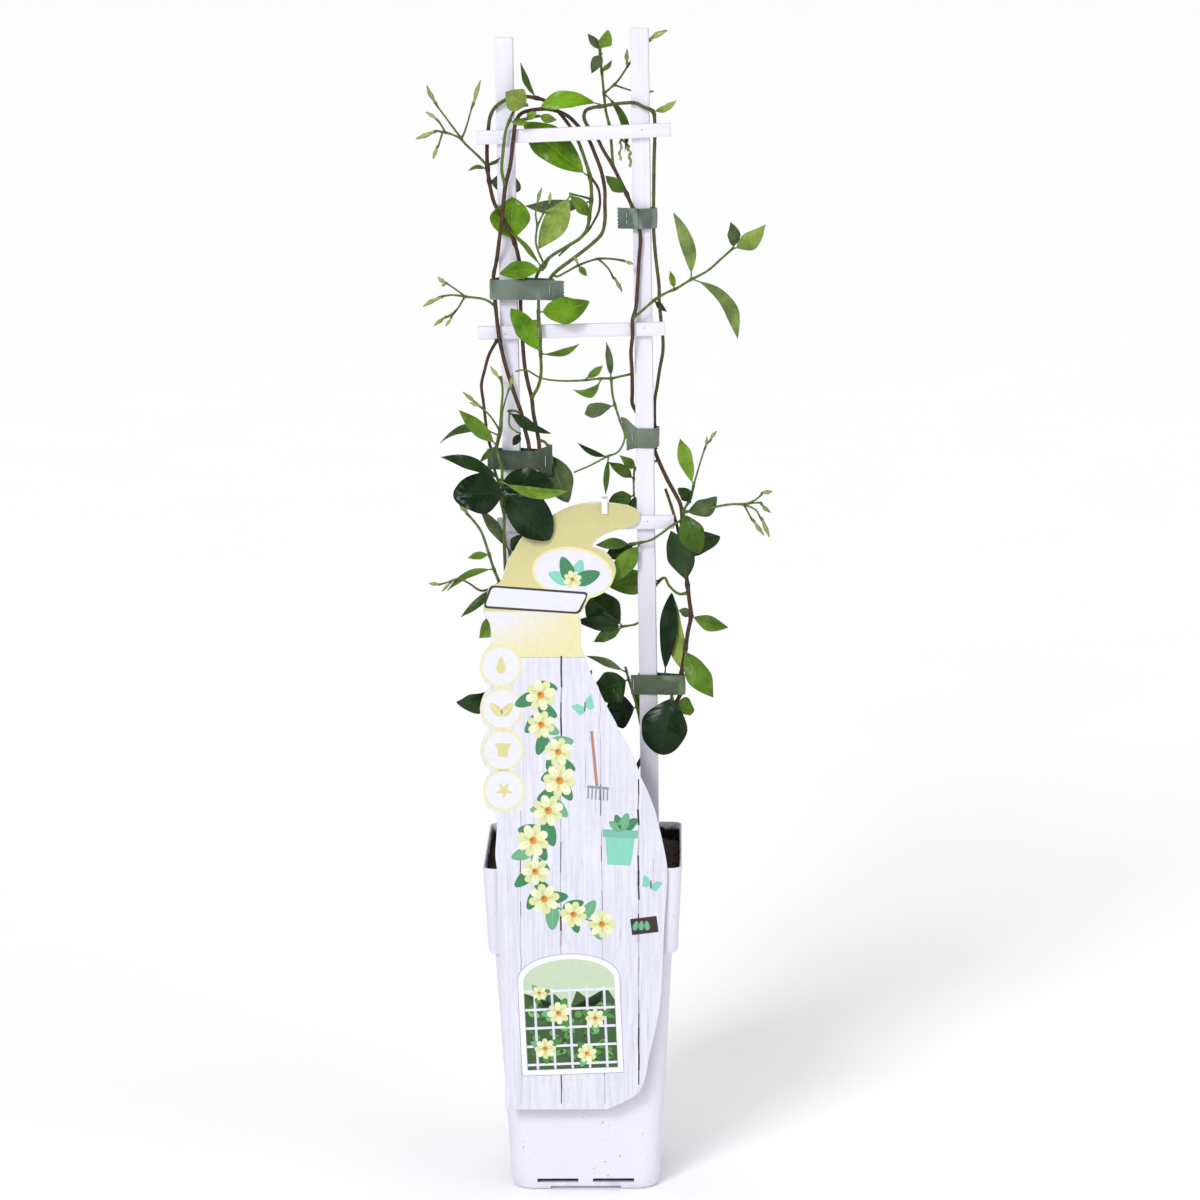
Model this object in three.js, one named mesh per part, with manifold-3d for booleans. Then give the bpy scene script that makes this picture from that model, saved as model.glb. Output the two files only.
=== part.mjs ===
// Star jasmine trained on a small ladder in a deep square pot, with its hanging label.
// Millimetres, +Z up. The origin is the middle of the pot's underside; -Y is the front.
import * as THREE from "three";
import Module from "manifold-3d";
import { ConvexGeometry } from "three/addons/geometries/ConvexGeometry.js";
import { mergeVertices } from "three/addons/utils/BufferGeometryUtils.js";

const wasm = await Module();
wasm.setup();

// ---- driving dimensions ----
const GAP = 0.3;

const POT_HEIGHT = 205.5;
const RIM_WIDTH = 120;
const COLLAR_FOOT_WIDTH = 114.6;
const COLLAR_FOOT_HEIGHT = 153;
const BODY_TOP_WIDTH = 107;
const BASE_WIDTH = 91;
const POT_WALL = 1.4;
const POT_FLOOR = 4.2;
const FOOT_SIZE = 24;
const FOOT_HEIGHT = 2.2;
const CENTRE_PAD_RADIUS = 9;
const DRAIN_SLOT = { length: 25, height: 2.4, middle: 17, bottom: 4.8 };
const SOIL_LEVEL = 197;

const LADDER_YAW = -5;
const LADDER_LEAN = -0.38;
const POST = { width: 10.6, thickness: 6, bottom: 95, spacing: 80.8, middle: -1.75 };
const LEFT_POST_TOP = 697.5;
const RIGHT_POST_TOP = 702.5;
const RUNG = { height: 8, thickness: 4 };
// name, left end, right end, height at the ladder's middle, tilt in degrees
const RUNGS = [
  ["top_rung", -59, 57, 640.8, 2.1],
  ["middle_rung", -60.5, 52, 523.2, 1.3],
  ["bottom_rung", -51, 56, 406.3, 1.1],
];

const CARD_THICKNESS = 0.8;
const PEG = { x: 14.4, width: 3.6, thickness: 1.3, top: 422, slot: 413.5, depth: 11.5, nose: 1.6 };

const TAPE_WIDTH = 12;
const TAPE_THICKNESS = 0.7;
const STAPLE = { width: 7, wire: 0.7, fold: 2.2 };

const LEAF_THICKNESS = 0.7;
const LEAF_FOLD = 0.16;
const THIN_STEM = 1.05;
const STEM_STEP = 16;

// ---- joining and cutting ----
function solidOf(geometry) {
  const bare = geometry.index === null ? geometry.clone() : geometry.toNonIndexed();
  bare.deleteAttribute("normal");
  bare.deleteAttribute("uv");
  const merged = mergeVertices(bare, 1e-4);
  const mesh = new wasm.Mesh({
    numProp: 3,
    vertProperties: new Float32Array(merged.attributes.position.array),
    triVerts: new Uint32Array(merged.index.array),
  });
  return new wasm.Manifold(mesh);
}

function geometryOf(solid) {
  const mesh = solid.getMesh();
  const geometry = new THREE.BufferGeometry();
  geometry.setAttribute("position", new THREE.BufferAttribute(mesh.vertProperties, 3));
  geometry.setIndex(new THREE.BufferAttribute(mesh.triVerts, 1));
  const flat = geometry.toNonIndexed();
  flat.computeVertexNormals();
  return flat;
}

function joined(solids) {
  return solids.reduce((all, next) => all.add(next));
}

// A closed skin over rings of points that all have the same count, ends filled by a fan.
function skin(rings) {
  const count = rings[0].length;
  const corners = rings.flat();
  const faces = [];
  for (let r = 0; r + 1 < rings.length; r += 1) {
    for (let i = 0; i < count; i += 1) {
      const a = r * count + i;
      const b = r * count + ((i + 1) % count);
      faces.push(a, b, b + count, a, b + count, a + count);
    }
  }
  const last = (rings.length - 1) * count;
  for (let i = 1; i + 1 < count; i += 1) {
    faces.push(0, i + 1, i, last, last + i, last + i + 1);
  }
  const geometry = new THREE.BufferGeometry();
  const flat = corners.flatMap((corner) => corner.toArray());
  geometry.setAttribute("position", new THREE.Float32BufferAttribute(flat, 3));
  geometry.setIndex(faces);
  return geometry;
}

function box(low, high) {
  const size = high.map((value, axis) => value - low[axis]);
  const geometry = new THREE.BoxGeometry(...size);
  geometry.translate(...low.map((value, axis) => value + size[axis] / 2));
  return geometry;
}

// ---- the growing parts: each gives its solid, and a stem also the sleeve of air round it ----
// A round bar through stations of centre, direction and radius, whose sides don't twist.
function bar(stations, sides) {
  let across = new THREE.Vector3(0.31, 0.52, 0.79);
  const rings = stations.map(({ centre, along, radius }) => {
    across = across.sub(along.clone().multiplyScalar(across.dot(along))).normalize();
    const up = along.clone().cross(across);
    return Array.from({ length: sides }, (_, k) => {
      const angle = (2 * Math.PI * k) / sides;
      return centre
        .clone()
        .addScaledVector(across, radius * Math.cos(angle))
        .addScaledVector(up, radius * Math.sin(angle));
    });
  });
  return solidOf(skin(rings));
}

function routeOf(points) {
  return new THREE.CatmullRomCurve3(
    points.map((point) => new THREE.Vector3(...point)),
    false,
    "centripetal",
  );
}

// Every named point is a station, and long spans are split.
function stationsAlong(points, radiusAt) {
  const route = routeOf(points);
  const spans = points.length - 1;
  const places = [0];
  for (let span = 0; span < spans; span += 1) {
    const length = route.points[span].distanceTo(route.points[span + 1]);
    const cuts = Math.max(1, Math.round(length / STEM_STEP));
    for (let cut = 1; cut <= cuts; cut += 1) {
      places.push((span + cut / cuts) / spans);
    }
  }
  return places.map((t) => ({
    centre: route.getPoint(t),
    along: route.getTangent(t),
    radius: radiusAt(t),
  }));
}

function stem(rootRadius, tipRadius, points) {
  const radiusAt = (t) => rootRadius + (tipRadius - rootRadius) * t;
  const sides = rootRadius > THIN_STEM ? 5 : 4;
  return {
    solid: bar(stationsAlong(points, radiusAt), sides),
    sleeve: bar(stationsAlong(points, (t) => radiusAt(t) + GAP), sides),
    points,
  };
}

// A pointed bud: a narrow base, a swollen tube and a long tip.
const BUD_SHAPE = [[0, 0.45], [0.36, 1], [0.68, 0.7], [1, 0.18]];

function bud(base, tip, girth) {
  const root = new THREE.Vector3(...base);
  const reach = new THREE.Vector3(...tip).sub(root);
  const along = reach.clone().normalize();
  const stations = BUD_SHAPE.map(([t, share]) => ({
    centre: root.clone().addScaledVector(reach, t),
    along,
    radius: (share * girth) / 2,
  }));
  return { solid: bar(stations, 4) };
}

// Stations of share of the length and share of the half width, for leaves up to a width.
// The first two stations stand for the leaf stalk.
const LEAF_SHAPES = [
  { upTo: 7, stations: [[0, 0], [0.12, 0], [0.5, 1], [1, 0.08]] },
  { upTo: 11, stations: [[0, 0], [0.1, 0], [0.4, 1], [0.75, 0.7], [1, 0.06]] },
  { upTo: 99, stations: [[0, 0], [0.1, 0], [0.3, 0.82], [0.52, 1], [0.8, 0.6], [1, 0.06]] },
];
const STALK_HALF = 0.6;
// A blade's section: share of the half width, share of the thickness, round both faces.
const BLADE_SECTION = [[-1, 0.5], [0, 0.5], [1, 0.5], [1, -0.5], [0, -0.5], [-1, -0.5]];

// turn: degrees about its own axis, 0 faces the front. arch: bulge of the midrib off the face.
// bow: sideways bend of the midrib.
function leaf(base, tip, width, turn = 0, arch = 0, bow = 0) {
  const root = new THREE.Vector3(...base);
  const along = new THREE.Vector3(...tip).sub(root);
  const axis = along.clone().normalize();
  const face = new THREE.Vector3(0, -1, 0);
  face.addScaledVector(axis, -face.dot(axis)).normalize();
  face.applyAxisAngle(axis, THREE.MathUtils.degToRad(turn));
  const side = axis.clone().cross(face);
  const { stations } = LEAF_SHAPES.find(({ upTo }) => width <= upTo);
  const rings = stations.map(([t, share]) => {
    const half = Math.max(STALK_HALF, (share * width) / 2);
    const hump = 4 * t * (1 - t);
    const middle = root
      .clone()
      .addScaledVector(along, t)
      .addScaledVector(face, arch * hump)
      .addScaledVector(side, bow * hump);
    const lift = LEAF_FOLD * (half - STALK_HALF);
    const corner = ([across, off]) =>
      middle
        .clone()
        .addScaledVector(side, across * half)
        .addScaledVector(face, off * LEAF_THICKNESS + Math.abs(across) * lift);
    return BLADE_SECTION.map(corner);
  });
  return { solid: solidOf(bladeSkin(rings)) };
}

// The blade's two faces are split along the same diagonals, so they stay the same distance apart.
function bladeSkin(rings) {
  const faces = [];
  for (let r = 0; r + 1 < rings.length; r += 1) {
    const a = r * 6;
    const b = a + 6;
    faces.push(a, a + 1, b + 1, a, b + 1, b, a + 1, a + 2, b + 2, a + 1, b + 2, b + 1);
    faces.push(a + 5, b + 4, a + 4, a + 5, b + 5, b + 4, a + 4, b + 3, a + 3, a + 4, b + 4, b + 3);
    faces.push(a + 2, a + 3, b + 3, a + 2, b + 3, b + 2, a + 5, a, b, a + 5, b, b + 5);
  }
  const e = (rings.length - 1) * 6;
  faces.push(0, 4, 1, 0, 5, 4, 1, 3, 2, 1, 4, 3);
  faces.push(e, e + 1, e + 4, e, e + 4, e + 5, e + 1, e + 2, e + 3, e + 1, e + 3, e + 4);
  const geometry = new THREE.BufferGeometry();
  const flat = rings.flat().flatMap((corner) => corner.toArray());
  geometry.setAttribute("position", new THREE.Float32BufferAttribute(flat, 3));
  geometry.setIndex(faces);
  return geometry;
}

// ---- the plant: node, what it grows from, finish, and its stems, leaves and buds ----
const PLANT = {
  "left_stem": ["soil", "bark", [
    stem(1.3, 1.1, [[-14, -6, 188], [-17, -6, 215], [-22, -6, 260], [-26, -6, 310], [-28, -3, 360],
      [-29, 2, 398], [-29, 2, 414], [-30, -1, 438], [-31, -3, 454], [-33, -4, 463],
      [-35, -5, 473],
      [-39, -6, 485], [-43, -6, 498], [-46, -6, 510], [-48, -6, 521], [-50, -3, 540],
      [-51, -1, 555], [-49, -2, 565], [-47, -8, 578], [-45, -9, 592], [-43, -6, 610],
      [-40, -5, 622], [-38, -7, 637], [-36, -6, 649], [-33, -4, 653], [-25, -3, 655],
      [-16, -2, 655], [-6, 1, 651], [1, 2, 644], [7, 1, 636], [10, 0, 629], [14, -1, 618],
      [16, -2, 607], [16, -3, 598], [16, -4, 589], [14, -4, 581], [8, -5, 575], [3, -5, 571],
      [-5, -5, 565], [-15, -3.5, 557], [-20, -2, 549]]),
    stem(1.0, 0.9, [[-49, -6, 518], [-54, -4, 509], [-57, -3, 499], [-59, -2, 490], [-58, -1, 480],
      [-57, 0, 469], [-56, 1, 459], [-54, 2, 451], [-52, 3, 438], [-49, 4, 428]]),
    stem(0.8, 0.7, [[-26, -6, 306], [-30, -14, 304], [-39, -19, 303], [-52, -21, 306]]),
    leaf([-52, -21, 306], [-75, -28, 300], 15, -25, 3, 0),
    leaf([-28, -3, 360], [-12, -15, 386], 14, -20, 3, 0),
    leaf([-18, -6, 232], [-2, -20, 248], 14, 30, 3, 0),
  ]],
  "left_tip_shoot": ["left_stem", "leaf", [
    stem(1.0, 0.8, [[-43, -6, 610], [-45, -6, 619], [-44, -8, 631], [-43, -9, 639],
      [-42, -8, 644], [-40, -8, 649], [-37, -9, 655], [-33, -9, 657.5], [-29, -9, 658.5]]),
    leaf([-29, -9, 658], [-42, -12, 666], 15, 0, 2, 0),
    leaf([-40, -8, 649], [-28, -12, 648], 4, 40, 1, 0),
  ]],
  "inner_stem": ["soil", "bark", [
    stem(1.3, 1.0, [[-4, 1, 188], [-7, 1, 220], [-12, 0, 270], [-17, -1, 330], [-21, 1, 380],
      [-22, 2, 398], [-23, 2, 412], [-24, 0, 432], [-25, -2, 456], [-28, -2, 473],
      [-29, 0, 482], [-31, 1, 490], [-33, 2, 501], [-34, 2, 514], [-35, 1, 536],
      [-35, -2, 562], [-38, -4, 576], [-42, -6, 586], [-46, -6, 593], [-50, -2, 600],
      [-53, 4, 612], [-54, 5, 621], [-54, 5, 634], [-53, 5, 644], [-52, 4, 650],
      [-49, -1, 656], [-44, -3, 660], [-40, -4, 662], [-33, -3, 663],
      [-25, -2, 662], [-19, 0, 660], [-13, 3, 655], [-5, 5, 645], [0, 5, 636], [4, 5, 625],
      [7, 3, 615], [8, 2, 604], [7, 1, 593],
      [5, 1, 583], [1, 0, 578], [-7, 0, 573], [-18, -1, 566], [-25, -3, 556], [-26, -3, 548]]),
    stem(0.8, 0.6, [[7, 3, 615], [12, 5, 607], [13, 5, 599], [12, 5, 593], [9, 5, 587],
      [5, 5, 581], [-3, 4, 575], [-12, 4, 567]]),
    stem(0.7, 0.6, [[8, 2, 601], [2, 0, 603], [-5, -3, 605]]),
    leaf([-24, -2, 662], [-32, -5, 683], 5, 50, 0, -3),
    leaf([7, 3, 614], [-33, 8, 647], 21, 15, -3, 0),
    leaf([-4, -3, 605], [-24, -7, 572.5], 15, 0, 3, 0),
    leaf([8, 2, 600], [-32, 6, 597], 9, 20, -2, -2),
    leaf([7, 1, 590], [-4, -4, 604], 8, 20, 1, 0),
    leaf([-22, -2, 561], [-39, -9, 584], 4, 50, 0, 0),
    leaf([-53, 4, 612], [-34, 14, 606], 12, 10, -5, 0),
    leaf([-54, 5, 619], [-65, -1, 619], 3, 40, 0, 2),
    leaf([-54, 5, 621], [-46, -3, 626], 3, 40, 0, 0),
    leaf([-38, -4, 576], [-39, -2, 603], 24, 0, -1, -3),
    leaf([-13, 0, 290], [6, 14, 312], 15, 0, -3, 0),
    leaf([-9, 1, 240], [8, 18, 226], 15, 20, -3, 0),
  ]],
  "fork_shoot": ["inner_stem", "leaf", [
    stem(1.0, 0.9, [[-29, 0, 482], [-25, -3, 489], [-23, -6, 498], [-23, -10, 510],
      [-23, -11, 524], [-24, -10, 532], [-24, -6, 541], [-24, -5, 552]]),
    leaf([-23, -10, 510], [0, -16, 516], 5, 30, 0, 3),
    leaf([-23, -10, 510], [-40, -15, 538], 13, 20, 2, 0),
    leaf([-24, -10, 531], [-30, -5, 524], 6, 0, 0, 0),
    leaf([-24, -9, 535], [6, -18, 541], 17, 10, 3, 0),
  ]],
  "tied_leaf_shoot": ["inner_stem", "leaf", [
    stem(0.8, 0.7, [[-18, -1, 566], [-20, -7, 562], [-22, -9, 560]]),
    leaf([-21, -8, 560], [-47, -8, 557], 12, -20, 2, 3),
    stem(0.7, 0.6, [[-20, -7, 562], [-25, -10, 576], [-24, -12, 588]]),
    stem(0.6, 0.5, [[-24, -12, 587], [-25, -13, 594], [-24, -14, 600]]),
    bud([-24, -14, 599], [-21, -15, 610], 2.6),
    stem(0.6, 0.5, [[-24, -12, 587], [-20, -11, 595], [-17, -11, 600]]),
    bud([-17, -11, 599], [-16, -12, 607], 2.4),
    bud([-20, -11, 595], [-12, -14, 599], 2.4),
  ]],
  "crown_leaf_shoot": ["left_stem", "leaf", [
    stem(0.9, 0.7, [[-36, -6, 649], [-30, -8, 650], [-22, -9, 652]]),
    leaf([-23, -9, 652], [-12, -8, 649], 6, 20, 0, 0),
    leaf([-30, -8, 650], [-24, -13, 654], 5, 0, 0, 0),
  ]],
  "tie_spray": ["left_stem", "bud", [
    stem(0.7, 0.6, [[-15, -3.5, 557], [-13, -8, 556], [-7, -9, 559], [0, -11, 563], [12, -12, 567],
      [21, -14, 567], [27, -14, 566]]),
    stem(0.6, 0.5, [[12, -12, 567], [18, -12, 561], [21, -12, 555]]),
    bud([27, -14, 566], [33, -15, 564], 2.6),
    bud([21, -12, 556], [26, -13, 547], 2.8),
    bud([0, -11, 563], [-3, -13, 569], 2.4),
    leaf([0, -11, 563], [5, -14, 557], 4, 0, 0, 0),
  ]],
  "upper_left_spray": ["inner_stem", "bud", [
    stem(0.8, 0.7, [[-54, 5, 621], [-59, 2, 627], [-67, 0, 635], [-70, -1, 639]]),
    stem(0.7, 0.5, [[-69, -1, 638], [-74, -2, 645], [-84, -3, 659]]),
    stem(0.7, 0.5, [[-69, -1, 638], [-67, -1, 642], [-62, -3, 658]]),
    stem(0.7, 0.5, [[-69, -1, 638], [-76, -1, 641], [-84, -3, 643]]),
    stem(0.6, 0.5, [[-78, -1, 641], [-82, -2, 648], [-84, -2, 650]]),
    stem(0.6, 0.5, [[-80, -2, 642], [-82, -2, 636], [-83, -2, 633]]),
    bud([-83, -3, 658], [-89, -3, 670], 3.2),
    bud([-62, -3, 657], [-57, -4, 673], 3.2),
    bud([-83, -3, 643], [-96, -4, 638], 3.4),
    bud([-83, -2, 649], [-90, -1, 654], 2.6),
    bud([-83, -2, 634], [-86, -2, 626], 2.8),
  ]],
  "middle_left_spray": ["left_stem", "bud", [
    stem(0.8, 0.7, [[-50, -3, 538], [-56, -4, 542], [-69, -4, 544]]),
    stem(0.6, 0.5, [[-68, -4, 544], [-73, -5, 548], [-80, -5, 553]]),
    stem(0.7, 0.5, [[-68, -4, 544], [-76, -5, 545], [-83, -5, 544]]),
    stem(0.6, 0.5, [[-68, -4, 544], [-74, -4, 535], [-80, -3, 531]]),
    stem(0.6, 0.5, [[-74, -4, 535], [-77, -5, 531]]),
    bud([-79, -5, 552], [-84, -5, 556], 3),
    bud([-79, -5, 552], [-82, -7, 551], 2.2),
    bud([-82, -5, 544], [-93, -5, 538], 3.2),
    bud([-81, -5, 544], [-89, -7, 542], 2.4),
    bud([-79, -3, 532], [-87, -2, 526], 2.8),
    bud([-76, -5, 532], [-80, -5, 526], 2.2),
  ]],
  "right_stem": ["soil", "bark", [
    stem(1.3, 1.0, [[9, 9, 188], [14, 9, 215], [22, 8, 235], [32, 5, 252], [41, 4, 269],
      [49, 0, 284], [56, -4, 294], [60, -7, 303], [60, -7, 313], [62, -8, 325], [64, -9, 339],
      [66, -10, 350], [65, -10, 360], [64, -10, 369], [62, -9, 384], [60, -9, 400],
      [61, -7, 409], [60, -3, 417], [58, -1, 421], [52, 1, 432], [47, 2, 443], [42, 3, 456],
      [36, 3, 469], [31.5, 0, 478], [31.5, -2, 485], [31.5, -7, 498], [31, -11, 511],
      [32, -12.5, 521], [32, -12, 530], [34, -11, 537], [35, -9, 548], [36, -9, 564],
      [37, -9, 580], [35, -9, 590], [32, -8, 598], [29, -6, 605], [25, -3, 613], [21, -2, 621],
      [15, 0, 631], [12, 0, 637], [6, 0, 645], [4, -1, 650], [5, -2, 654], [9, -4, 656],
      [15, -6, 657], [20, -7, 658], [28, -8, 659], [35, -9, 659], [39, -10, 657], [45, -9, 654],
      [46, -6, 648], [46, -5, 638], [45.5, -5, 625], [45, -6.2, 595], [45, -6.2, 583],
      [46, -6, 568], [48, -5, 549], [48, -4, 540], [49, -3, 529], [50, -3, 519], [50, -3, 510],
      [48, -2, 499], [46.5, 0, 489], [45, 1.4, 480], [44.8, 1.6, 469], [45, 1.4, 458], [45.5, 1, 450]]),
    stem(1.0, 0.9, [[62, -9, 385], [60, -6, 395], [57, -2, 407], [54, 0, 417], [51, 0, 426]]),
    leaf([45, -9, 654], [59, -12, 660], 5, 30, 2, 0),
    leaf([14, -6, 658], [-21, -10, 658], 11, 15, 0, 3),
    leaf([29, -6, 605], [17, -9, 616], 8, 20, 0, 0),
    leaf([66, -10, 350], [59, -13, 354], 6, 30, 0, 0),
    leaf([66, -10, 350], [88, -18, 344], 10, 20, 2, 0),
    leaf([61.5, -8, 330], [79, -17, 301], 15, 10, 3, 0),
    leaf([60, -7, 313], [55, 2, 359], 14, -35, 0, 0),
    stem(0.7, 0.6, [[60, -7, 312], [56, -7, 311], [50, -7, 312]]),
    leaf([50, -7, 312], [54, -5, 363], 11, -10, 0, 0),
    leaf([56, -4, 294], [68, 3, 289], 12, -40, 0, 0),
    leaf([64, -10, 369], [54, -19, 403], 17, -10, -3, 0),
    leaf([62, -9, 384], [84, -12, 398], 18, 30, -4, -3),
    leaf([32, 5, 252], [26, 22, 232], 16, 20, -3, 0),
  ]],
  "top_shoot": ["right_stem", "leaf", [
    stem(0.9, 0.7, [[21, -2, 621], [20, 0, 636], [19, 0, 645], [17, -1, 654], [16, -1, 664],
      [15, -4, 676], [14, -6, 688], [14, -6, 693]]),
    leaf([14, -6, 691], [19, -12, 702], 8, 20, 2, 0),
    leaf([14, -6, 690], [7, -9, 700], 5, 10, 0, 0),
    leaf([15, -6, 688], [9, -12, 677], 7, 0, 2, 0),
    leaf([15, -4, 677], [21, -10, 684], 4, 40, 0, 0),
    stem(0.6, 0.5, [[19, 0, 645], [26, 2, 637], [31, 1, 632]]),
    bud([30, 1, 633], [32, -1, 620], 2.8),
    bud([26, 2, 637], [25, 0, 624], 2.4),
    leaf([16, -1, 664], [28, 3, 629], 5, 15, 0, -6),
  ]],
  "top_twig": ["top_shoot", "leaf", [
    stem(0.7, 0.5, [[16, -1, 664], [24, 3, 671], [31, 5, 681], [38, 6, 690], [43, 5, 695]]),
    bud([42, 5, 694], [54, 2, 701], 4),
    bud([30, 5, 680], [30, 3, 690], 3),
    stem(0.6, 0.5, [[22, 2, 669], [30, 4, 666], [38, 5, 664]]),
    bud([37, 5, 664], [46, 3, 665], 2.6),
  ]],
  "upper_right_shoot": ["right_stem", "leaf", [
    stem(0.9, 0.7, [[32, -12, 531], [39, -14, 537], [46, -14, 543], [53, -14, 547],
      [58, -14, 549], [66, -15, 554], [77, -16, 560], [85, -16, 567], [93, -16, 574]]),
    leaf([67, -15, 555], [56, -20, 594], 9, -20, 0, 4),
    leaf([67, -15, 555], [94, -24, 520], 9, 20, 0, -9),
    leaf([92, -16, 573], [91, -18, 589], 8, 20, 2, 0),
    leaf([92, -16, 573], [111, -21, 587], 11, 10, 2, 2),
    leaf([57, -14, 549], [55, -18, 560], 4, 20, 0, 0),
    leaf([45, -14, 542], [52, -19, 536], 4, 20, 0, 0),
  ]],
  "wavy_shoot": ["right_stem", "leaf", [
    stem(0.8, 0.5, [[32, -6, 497], [25, -9, 496], [19, -11, 495], [13, -11, 495], [1, -12, 494],
      [-13, -12, 494], [-23, -14, 496], [-32, -15, 501], [-38, -14, 500]]),
    stem(0.8, 0.5, [[19, -11, 495], [20, -12, 484], [24, -13, 470], [27, -13, 460],
      [23, -13, 451], [16, -13, 448], [7, -12, 443], [-4, -10, 438]]),
    leaf([13, -11, 495], [-4, -12, 489], 6, 20, 0, -6),
    leaf([4, -12, 495], [14, -16, 503], 5, 20, 0, 0),
    leaf([19, -11, 495], [17, -15, 517], 5, 30, 0, 0),
    leaf([21, -12, 479], [3, -14, 474], 9, 10, 2, 0),
    leaf([17, -13, 448], [-1, -15, 457], 4, 30, 0, -2),
    leaf([17, -13, 448], [15, -17, 426], 4, 20, 0, 0),
  ]],
  "post_side_shoot": ["right_stem", "leaf", [
    stem(0.7, 0.6, [[47, 2, 443], [40, 5, 441], [33, 4, 438], [32, 1, 432], [32, 0, 422]]),
    leaf([32, 1, 432], [17, -3, 443], 7, 20, 2, 0),
    leaf([33, 4, 438], [24, -4, 447], 6, 20, 2, 0),
    leaf([32, 0, 422], [17, -3, 419], 10, 10, 2, 0),
    leaf([32, 0, 422], [35, 8, 406], 12, 10, -2, 0),
  ]],
  "right_spray": ["right_stem", "bud", [
    stem(0.9, 0.8, [[61, -8, 403], [62, -11, 409], [62, -13, 415], [66, -13, 422], [68, -12, 430]]),
    stem(0.6, 0.5, [[68, -12, 430], [70, -12, 437], [73, -12, 447], [76, -12, 455], [79, -12, 458]]),
    stem(0.8, 0.7, [[62, -13, 414], [72, -17, 416], [80, -19, 418], [91, -21, 420], [99, -22, 420]]),
    stem(0.6, 0.5, [[98, -22, 420], [105, -23, 423], [109, -25, 427]]),
    stem(0.6, 0.5, [[98, -22, 420], [105, -22, 421], [109, -22, 421]]),
    stem(0.6, 0.5, [[98, -22, 420], [105, -24, 417], [108, -26, 412]]),
    stem(0.6, 0.5, [[98, -22, 420], [101, -21, 414], [103, -21, 410]]),
    bud([108, -25, 427], [115, -25, 428], 3),
    bud([108, -22, 421], [114, -22, 415], 3),
    bud([108, -26, 413], [113, -28, 401], 3.2),
    bud([103, -21, 411], [110, -22, 401], 3),
    bud([78, -12, 457], [82, -12, 463], 2.6),
    bud([75, -12, 453], [76, -13, 460], 2),
    leaf([68, -12, 430], [60, -18, 459], 9, -10, 2, 0),
    leaf([66, -13, 420], [59, -15, 429], 8, 20, 2, 0),
    leaf([63, -13, 414], [82, -19, 423], 14, 30, 3, 0),
    leaf([61.5, -13, 414.5], [71, -21, 390], 16, 0, 2, 0),
  ]],
  "crossing_shoot": ["right_spray", "leaf", [
    stem(0.8, 0.7, [[61, -11, 409], [58, -15, 408], [54, -17, 406], [49, -16, 402], [42, -13, 397],
      [35, -11, 395], [29, -9, 394]]),
    leaf([30, -9, 394], [9, -12, 394], 7, 20, 1, 0),
    leaf([33, -10, 394], [14, -6, 385], 10, 10, 0, 0),
    leaf([36, -11, 395], [17, -12, 370], 12, 0, 0, 0),
  ]],
  "low_middle_shoot": ["right_stem", "leaf", [
    stem(0.9, 0.7, [[64, -10, 364], [59, -8, 363], [53, -3, 367], [50, 3, 371], [45, 5, 366],
      [40, 5, 352], [34, 4, 343], [24, 2, 341]]),
    leaf([25, 2, 341], [3, 2, 361], 22, 0, -3, 0),
    leaf([25, 2, 341], [-4, -3, 346], 9, 10, 2, 0),
    leaf([25, 2, 341], [7, -4, 333], 8, 20, 0, 0),
    leaf([47, 4, 369], [14, 11, 365], 16, 0, -2, 0),
  ]],
  "low_left_shoot": ["right_stem", "leaf", [
    stem(0.9, 0.7, [[41, 4, 269], [36, 7, 276], [33, 6, 290], [29, 4, 304], [26, 3, 316]]),
    leaf([33, 6, 290], [14, 1, 287], 21, 0, -3, 0),
    leaf([28, 3.5, 308], [6, -2, 301], 20, 10, 3, 0),
    leaf([26, 3, 313], [3, 1, 324], 5, 30, 0, 0),
    leaf([34, 6, 288], [42, 18, 306], 14, 10, -2, 0),
  ]],
  "low_right_leaf": ["right_stem", "leaf", [
    stem(0.9, 0.8, [[56, -4, 294], [56, -9, 295], [55, -12.5, 298], [54, -13, 303]]),
    leaf([54, -13, 303], [48, -19, 266], 28, 0, 4, 0),
  ]],
  "front_shoot": ["soil", "leaf", [
    stem(1.2, 0.7, [[-20, -13, 188], [-27, -13, 240], [-36, -13, 300], [-43, -14, 345],
      [-45, -14, 367], [-46, -14, 395], [-46, -13, 407], [-46, -13, 418], [-47, -12, 432],
      [-47, -11, 440], [-50, -11, 454], [-48, -11, 464], [-47, -11, 476], [-46, -11, 488],
      [-47, -12, 497]]),
    stem(0.7, 0.5, [[-50, -11, 454], [-47, -13, 464], [-46, -14, 476], [-42, -15, 490]]),
    stem(0.6, 0.5, [[-48, -11, 464], [-54, -10, 473], [-62, -8, 480]]),
    bud([-47, -12, 495], [-53, -12, 503], 2.8),
    bud([-42, -15, 489], [-40, -16, 499], 2.8),
    bud([-61, -8, 479], [-70, -8, 487], 2.8),
    bud([-59, -9, 478], [-66, -10, 481], 2.4),
    leaf([-50, -11, 455], [-72, -15, 477], 9, 15, 2, 0),
    leaf([-49, -11, 461], [-84, -13, 458], 6, 40, 0, 7),
    leaf([-47, -12, 433], [-83, -15, 449], 8, 20, 2, 3),
    leaf([-47, -13, 433], [-8, -26, 428], 8, 20, 4, 1),
    leaf([-50, -11, 455], [-60, -13, 445], 4, 0, 0, 0),
    leaf([-51, -12.5, 430], [-18, -12.5, 433], 18, -8, 0, 0),
  ]],
  "front_leaf_shoot": ["front_shoot", "leaf", [
    stem(0.9, 0.8, [[-46, -13, 414], [-47.5, -15.5, 420], [-48, -17, 428]]),
    leaf([-43.5, -15.5, 427], [-76, -21, 426.5], 25, 10, 3, 0),
    leaf([-48, -16, 428.5], [-18, -18.5, 399], 25, -10, 1, 0),
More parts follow.
